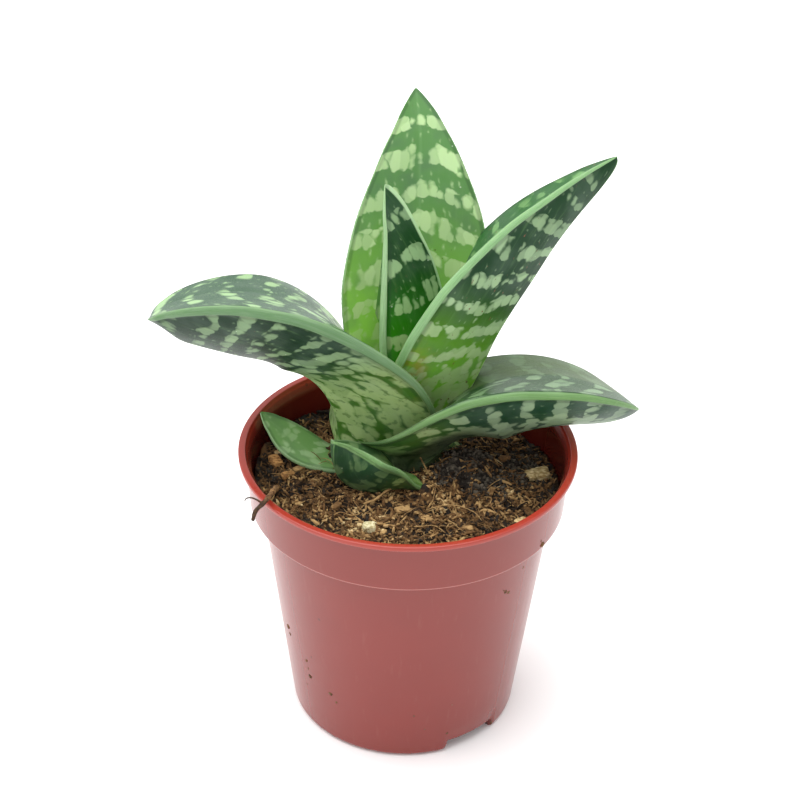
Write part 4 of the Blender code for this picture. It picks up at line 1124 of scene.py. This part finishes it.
def lumps_body(lumps, middles, tones):
    """One body of many lumps, each at its place and with its tone."""
    starts = 12 * np.arange(len(middles))[:, None, None]
    points = (lumps + middles[:, None]).reshape(-1, 3)
    return points, [(icosahedron()[1][None] + starts).reshape(-1, 3)], {"tone": np.repeat(tones, 12)}


def scattered_places(draw, count, edge_clear):
    """Places spread evenly over the soil, away from the pot's wall."""
    radius = (SOIL_RADIUS - edge_clear) * np.sqrt(draw.random(count))
    angle = draw.uniform(0.0, 2.0 * math.pi, count)
    return radius * np.cos(angle), radius * np.sin(angle)


def clear_of_leaves(middles, names):
    """True for each place that isn't close over, under or beside the named leaves' inner faces."""
    clear = np.ones(len(middles), dtype=bool)
    for leaf in LEAVES:
        if leaf.name in names:
            t = np.linspace(0.0, 0.95, 60)
            crease, across, out = leaf_frame(leaf, t)
            half_width, fold, _, _ = leaf_outline(leaf, t)
            flat = np.linspace(-0.92, 0.92, 13)[None, :, None]
            side = (half_width * np.cos(fold))[:, None, None] * across[:, None]
            lift = (half_width * np.sin(fold))[:, None, None] * out[:, None]
            face = (crease[:, None] + side * flat + lift * abs(flat)).reshape(1, -1, 3)
            apart = np.hypot(middles[:, None, 0] - face[..., 0], middles[:, None, 1] - face[..., 1])
            above = middles[:, None, 2] - face[..., 2]
            clear &= ~((apart < 0.8) & (above > -1.0) & (above < 2.0)).any(axis=1)
    return clear


def splinters():
    """Thousands of small peat splinters: stretched, roughened icosahedra that lie nearly flat.

    Each splinter's long axis has a random azimuth and a small tilt, and it is rolled at random about
    it. Grit on the charcoal heap is rounder and darker. Splinters by the wall, most at the back, are
    darker too: painted shade of the wall.
    """
    draw = np.random.default_rng(SPLINTER_SEED)
    x, y = scattered_places(draw, SPLINTERS, 0.7)
    shortest, longest = SPLINTER_LENGTH
    length = shortest + (longest - shortest) * draw.random(SPLINTERS) ** 2.2
    width = draw.uniform(*SPLINTER_WIDTH, SPLINTERS)
    grit = heaped(x, y)[1] > draw.uniform(0.08, 0.85, SPLINTERS)
    length = np.where(grit, 0.55 * length + 0.3, length)
    width = np.where(grit, width + 0.2, width)
    size = np.stack((length, width, width * draw.uniform(0.45, 0.9, SPLINTERS)), axis=-1) / 2.0
    azimuth = draw.uniform(0.0, 2.0 * math.pi, SPLINTERS)
    tilt = np.radians(draw.normal(0.0, SPLINTER_TILT, SPLINTERS))
    roll = draw.uniform(0.0, 2.0 * math.pi, SPLINTERS)
    long = np.stack((np.cos(azimuth) * np.cos(tilt), np.sin(azimuth) * np.cos(tilt), np.sin(tilt)), axis=-1)
    level = np.stack((-np.sin(azimuth), np.cos(azimuth), np.zeros(SPLINTERS)), axis=-1)
    side = level * np.cos(roll)[:, None] + np.cross(long, level) * np.sin(roll)[:, None]
    lumps = rough_lumps(draw, np.stack((long, side, np.cross(long, side)), axis=-1), size)
    height = crumbly_height(x, y) + draw.uniform(-0.10, 0.35, SPLINTERS)
    middles = np.stack((x, y, height), axis=-1)
    clods = lattice_noise(middles * (1.0, 1.0, 0.0), 2.6, 523)
    # painted shade by the pot's wall, strongest at the back and the left
    shade = smoothstep((np.hypot(x, y) - 15.0) / 8.0) * np.clip(0.6 + (0.4 * y - 0.25 * x) / 24.0, 0.0, 1.0)
    tone = 0.06 + 1.02 * draw.beta(1.4, 1.6, SPLINTERS) + 0.32 * clods - 0.30 * shade - 0.007 * y
    tone = np.where(grit, -0.48 + 0.55 * tone, np.clip(tone, 0.0, 1.15))
    free = clear_of_leaves(middles, ("leaf_small_left", "leaf_small_front"))
    return lumps_body(lumps[free], middles[free], tone[free])


def dirt_lumps():
    """Flat crumbs of dried soil stuck to the pot's wall."""
    draw = np.random.default_rng(DIRT_SEED)
    azimuth, height, size = np.array(DIRT_SPECKS).T
    angle = np.radians(azimuth)
    wall = np.where(height < LEDGE_HEIGHT, body_radius(np.maximum(height, FOOT_ROUND)), band_radius(height))
    out = np.stack((np.cos(angle), np.sin(angle), np.zeros_like(angle)), axis=-1)
    across = np.stack((-np.sin(angle), np.cos(angle), np.zeros_like(angle)), axis=-1)
    frames = np.stack((out, across, np.broadcast_to((0.0, 0.0, 1.0), out.shape)), axis=-1)
    lumps = rough_lumps(draw, frames, size[:, None] * DIRT_SHAPE / 2.0)
    middles = np.stack((wall * np.cos(angle), wall * np.sin(angle), height), axis=-1)
    return lumps_body(lumps, middles, draw.uniform(0.25, 0.55, len(size)))


def tubes_body(routes, radii, tones, sides):
    """Thin tubes along many routes at once: a polygon stood square to each route at each of its points."""
    ahead = unit(np.gradient(routes, axis=1))
    across = unit(np.cross(ahead, TUBE_SIDEWAYS))
    above = np.cross(across, ahead)
    angles = np.linspace(0.0, 2.0 * math.pi, sides, endpoint=False)[:, None]
    rim = across[:, :, None] * np.cos(angles) + above[:, :, None] * np.sin(angles)
    rings = routes[:, :, None] + radii[:, :, None, None] * rim
    count, steps = rings.shape[:2]
    starts = steps * sides * np.arange(count)[:, None, None]
    ends = np.array([np.arange(sides)[::-1], (steps - 1) * sides + np.arange(sides)])
    groups = [
        (ring_quads(steps, sides)[None] + starts).reshape(-1, 4), (ends[None] + starts).reshape(-1, sides)]
    tones = np.broadcast_to(tones, (count, steps)).ravel()
    return rings.reshape(-1, 3), groups, {"tone": np.repeat(tones, sides)}


def loose_fibres():
    """Fine peat fibres that lie on the splinters, each a shallow arch with a slight bend."""
    draw = np.random.default_rng(FIBRE_SEED)
    x, y = scattered_places(draw, FIBRES, 3.0)
    length = draw.uniform(*FIBRE_LENGTH, FIBRES)
    angle = draw.uniform(0.0, 2.0 * math.pi, FIBRES)[:, None]
    bend = draw.normal(0.0, 0.10, FIBRES) * length
    arch = draw.uniform(0.0, 0.35, FIBRES)
    share = np.linspace(-0.5, 0.5, FIBRE_STEPS)[None]
    forward = length[:, None] * share
    sideways = bend[:, None] * (1.0 - 4.0 * share ** 2)
    path_x = x[:, None] + forward * np.cos(angle) - sideways * np.sin(angle)
    path_y = y[:, None] + forward * np.sin(angle) + sideways * np.cos(angle)
    inward = np.minimum(1.0, (SOIL_RADIUS - 0.6) / np.maximum(np.hypot(path_x, path_y), 0.1))
    path_x, path_y = path_x * inward, path_y * inward
    radius = draw.uniform(*FIBRE_RADIUS, FIBRES)[:, None]
    rise = radius + 0.35 + arch[:, None] * (1.0 - 4.0 * share ** 2)
    ground = soil_height(path_x, path_y) + heaped(path_x, path_y)[0]
    routes = np.stack((path_x, path_y, ground + rise), axis=-1)
    taper = radius * np.sqrt(np.clip(1.05 - 4.0 * share ** 2, 0.05, 1.0))
    return tubes_body(routes, taper, 0.30 + 0.80 * draw.random(FIBRES)[:, None], FIBRE_SIDES)


def smooth_route(points, steps):
    """A smooth curve through given points, read at even shares: each leg is a Catmull-Rom cubic."""
    points = np.array(points, dtype=float)
    padded = np.concatenate((points[:1], points, points[-1:]))
    place = np.linspace(0.0, len(points) - 1.0, steps)
    index = np.minimum(place.astype(int), len(points) - 2)
    share = (place - index)[:, None]
    before, start, end, after = (padded[index + k] for k in range(4))
    return 0.5 * (
        2.0 * start + (end - before) * share
        + (2.0 * before - 5.0 * start + 4.0 * end - after) * share ** 2
        + (3.0 * start - before - 3.0 * end + after) * share ** 3)


def named_strands():
    """The strands that stand out: tapering, slightly knotty tubes along smooth routes."""
    radius, tone, routes = zip(*STRANDS)
    routes = np.stack([smooth_route(route, STRAND_STEPS) for route in routes])
    share = np.linspace(-1.0, 1.0, STRAND_STEPS)[None]
    radii = np.array(radius)[:, None] * np.sqrt(np.clip(1.05 - share ** 4, 0.1, 1.0))
    radii = radii * (1.0 + 0.25 * rough_noise(routes, 0.7, 33, 2))
    return tubes_body(routes, radii, np.array(tone)[:, None], STRAND_SIDES)


def twig_body():
    """The twig and its side shoot: knotty tubes whose radius and tone run from one end to the other."""
    radii, tones, routes = zip(*TWIG_PARTS)
    routes = np.stack([smooth_route(route, TWIG_STEPS) for route in routes])
    radii, tones = (np.stack([np.linspace(*ends, TWIG_STEPS) for ends in part]) for part in (radii, tones))
    radii = radii * (1.0 + 0.18 * rough_noise(routes, 0.8, 91, 2))
    return tubes_body(routes, radii, tones, TWIG_SIDES)


def chip_body(name, place, size, turn, steps=CHIP_STEPS):
    """A rough chip: a squared-off ball, pushed in and out by noise, partly sunk in the soil."""
    polar, azimuth = np.meshgrid(
        np.linspace(0.0, math.pi, steps + 2)[1:-1],
        np.linspace(0.0, 2.0 * math.pi, 2 * steps, endpoint=False), indexing="ij")
    ball = (np.sin(polar) * np.cos(azimuth), np.sin(polar) * np.sin(azimuth), np.cos(polar))
    ball = np.stack(ball, axis=-1)
    poles = np.array(((0.0, 0.0, 1.0), (0.0, 0.0, -1.0)))
    angle = math.radians(turn)
    ground = float(soil_height(*place) + heaped(*np.array(place))[0])
    middle = np.array((*place, ground + size[2] * CHIP_STANDS))
    seed = sum(map(ord, name))
    shaped = []
    for part in (ball, poles):
        body = np.sign(part) * abs(part) ** CHIP_SQUARENESS * np.array(size) / 2.0
        push = 1.0 + 0.15 * rough_noise(body + 50.0, 1.1, seed, 4)
        body = body * push[..., None]
        x = body[..., 0] * math.cos(angle) - body[..., 1] * math.sin(angle)
        y = body[..., 0] * math.sin(angle) + body[..., 1] * math.cos(angle)
        shaped.append(np.stack((x, y, body[..., 2]), axis=-1) + middle)
    return *closed_body(*shaped), {}


def soil_flakes():
    """Flakes of bark and perlite that stand out on the soil, as one piece."""
    points, quads, triangles, tones = [], [], [], []
    count = 0
    for number, (*form, tone) in enumerate(FLAKES):
        body, groups, _ = chip_body(f"flake{number}", *form, FLAKE_STEPS)
        points.append(body)
        quads.append(groups[0] + count)
        triangles.append(groups[1] + count)
        tones.append(np.full(len(body), tone))
        count += len(body)
    groups = [np.concatenate(quads), np.concatenate(triangles)]
    return np.concatenate(points), groups, {"tone": np.concatenate(tones)}


# Properties

class AloeColours(bpy.types.PropertyGroup):
    """Colours that a user may change before building."""

    plastic: bpy.props.FloatVectorProperty(
        name="Plastic", description="Colour of the moulded pot", subtype="COLOR", min=0.0, max=1.0,
        default=linear("7E271E")[:3])
    soil: bpy.props.FloatVectorProperty(
        name="Soil", description="Middle colour of the potting mix", subtype="COLOR", min=0.0, max=1.0,
        default=linear("6C4E2D")[:3])
    bloom: bpy.props.FloatProperty(
        name="Bloom", description="Strength of the pale wax on the leaves", subtype="FACTOR",
        min=0.0, max=1.0, default=0.3)


class AloeStage(bpy.types.PropertyGroup):
    """Floor, lights and camera."""

    floor: bpy.props.FloatVectorProperty(
        name="Floor", description="Colour of the floor", subtype="COLOR", min=0.0, max=1.0,
        default=linear("FFFFFF")[:3])
    sky: bpy.props.FloatProperty(
        name="Surround", description="Strength of the even light all round", min=0.0, default=0.95)
    key: bpy.props.FloatProperty(
        name="Key light", description="Power of the overhead softbox", unit="POWER", min=0.0, default=12.0)
    lens: bpy.props.FloatProperty(
        name="Lens", description="Focal length of the camera", subtype="DISTANCE_CAMERA", min=1.0,
        default=CAMERA_LENS)


# Operators

class ALOE_OT_make_leaves(bpy.types.Operator):
    """Grow the seven keeled leaves from the stem"""

    bl_idname = "aloe.make_leaves"
    bl_label = "Leaves"
    bl_options = {"REGISTER", "UNDO"}

    def execute(self, context):
        for leaf in LEAVES:
            material = leaf_skin(SKINS[leaf.name], leaf.name, context.scene.aloe_colours)
            add_piece(leaf.name + "_fine", leaf_body(leaf), material, [leaf.name])
        return {"FINISHED"}


class ALOE_OT_make_pot(bpy.types.Operator):
    """Mould the pot, drill its drain holes and set the specks of dried soil on its wall"""

    bl_idname = "aloe.make_pot"
    bl_label = "Pot"
    bl_options = {"REGISTER", "UNDO"}

    def execute(self, context):
        colours = context.scene.aloe_colours
        pot = add_piece("pot_fine", pot_body(), moulded_polypropylene(colours), ["pot"])
        for hole in range(DRAIN_HOLES):
            drill_drain_hole(pot, 45.0 + 360.0 * hole / DRAIN_HOLES)
        add_piece("dirt_specks", dirt_lumps(), potting_mix(colours, "dried_soil_specks"))
        return {"FINISHED"}


class ALOE_OT_make_soil(bpy.types.Operator):
    """Fill the pot with crumbly potting mix, loose splinters, fibres, strands and flakes"""

    bl_idname = "aloe.make_soil"
    bl_label = "Soil"
    bl_options = {"REGISTER", "UNDO"}

    def execute(self, context):
        material = potting_mix(context.scene.aloe_colours)
        add_piece("soil_fine", soil_body(), material, ["soil"])
        add_piece("soil_splinters", splinters(), material)
        add_piece("soil_fibres", loose_fibres(), material)
        add_piece("soil_strands", named_strands(), material)
        add_piece("soil_flakes", soil_flakes(), material)
        return {"FINISHED"}


class ALOE_OT_make_litter(bpy.types.Operator):
    """Lay the bark chips, the perlite crumb and the twig, and finish the stem"""

    bl_idname = "aloe.make_litter"
    bl_label = "Chips and twig"
    bl_options = {"REGISTER", "UNDO"}

    def execute(self, context):
        finishes = {name: dry_plant_matter(name, *look) for name, look in DRY_FINISHES.items()}
        for name, slot, finish, *form in CHIPS:
            add_piece(name + "_fine", chip_body(name, *form), finishes[finish], [name])
        add_piece("twig_fine", twig_body(), finishes["dead_twig"], ["twig"])
        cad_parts["stem"].material_slots[0].material = finishes["corky_stem"]
        return {"FINISHED"}


class ALOE_OT_make_stage(bpy.types.Operator):
    """Set the pale floor, the soft studio light and the camera"""

    bl_idname = "aloe.make_stage"
    bl_label = "Stage"
    bl_options = {"REGISTER", "UNDO"}

    def execute(self, context):
        scene = context.scene
        stage = scene.aloe_stage
        material, add = new_material("matt_paper")
        add("OutputMaterial", add("BsdfPrincipled", stage.floor[:] + (1.0,), Roughness=0.9))
        corners = np.array(((-1, -1, 0), (1, -1, 0), (1, 1, 0), (-1, 1, 0))) * FLOOR_HALF - AXIS / MM
        floor = add_object("floor", corners, [np.array([(0, 1, 2, 3)])])
        floor.data.materials.append(material)

        scene.world = bpy.data.worlds.new("studio")
        scene.world.use_nodes = True
        background = scene.world.node_tree.nodes["Background"]
        background.inputs["Color"].default_value = linear("FFFFFF")
        background.inputs["Strength"].default_value = stage.sky
        scene.view_settings.view_transform = "Standard"
        for name, place, width, share in LIGHTS:
            light = bpy.data.lights.new(name, "AREA")
            light.shape = "DISK"
            light.size = width * MM
            light.energy = stage.key * share
            lamp = bpy.data.objects.new(name, light)
            scene.collection.objects.link(lamp)
            lamp.location = Vector(place) * MM
            lamp.rotation_euler = (Vector(LIGHTS_AIM) - Vector(place)).to_track_quat("-Z", "Y").to_euler()

        lens = bpy.data.cameras.new("camera")
        lens.lens = stage.lens
        lens.sensor_width = CAMERA_SENSOR
        lens.clip_start = CAMERA_NEAREST * MM
        camera = bpy.data.objects.new("camera", lens)
        scene.collection.objects.link(camera)
        camera.location = Vector(CAMERA_PLACE) * MM + Vector(AXIS)
        camera.rotation_euler = Euler([math.radians(angle) for angle in CAMERA_TURN], "XYZ")
        scene.camera = camera
        return {"FINISHED"}


class ALOE_PT_panel(bpy.types.Panel):
    """Lists the settings and the operators."""

    bl_idname = "ALOE_PT_panel"
    bl_label = "Potted tiger aloe"
    bl_space_type = "VIEW_3D"
    bl_region_type = "UI"
    bl_category = "Aloe"

    def draw(self, context):
        for group in (context.scene.aloe_colours, context.scene.aloe_stage):
            for setting in group.__annotations__:
                self.layout.prop(group, setting)
        for operator in OPERATORS:
            self.layout.operator(operator.bl_idname)


GROUPS = {"aloe_colours": AloeColours, "aloe_stage": AloeStage}
OPERATORS = (
    ALOE_OT_make_leaves,
    ALOE_OT_make_pot,
    ALOE_OT_make_soil,
    ALOE_OT_make_litter,
    ALOE_OT_make_stage,
)


def register():
    """Register the settings, the operators and the panel."""
    for name, group in GROUPS.items():
        bpy.utils.register_class(group)
        setattr(bpy.types.Scene, name, bpy.props.PointerProperty(type=group))
    for operator in OPERATORS:
        bpy.utils.register_class(operator)
    bpy.utils.register_class(ALOE_PT_panel)


def unregister():
    """Take back what register() added."""
    bpy.utils.unregister_class(ALOE_PT_panel)
    for operator in reversed(OPERATORS):
        bpy.utils.unregister_class(operator)
    for name, group in GROUPS.items():
        delattr(bpy.types.Scene, name)
        bpy.utils.unregister_class(group)


def main():
    """Build everything."""
    register()
    bpy.ops.aloe.make_leaves()
    bpy.ops.aloe.make_pot()
    bpy.ops.aloe.make_soil()
    bpy.ops.aloe.make_litter()
    bpy.ops.aloe.make_stage()


if __name__ == "__main__":
    main()
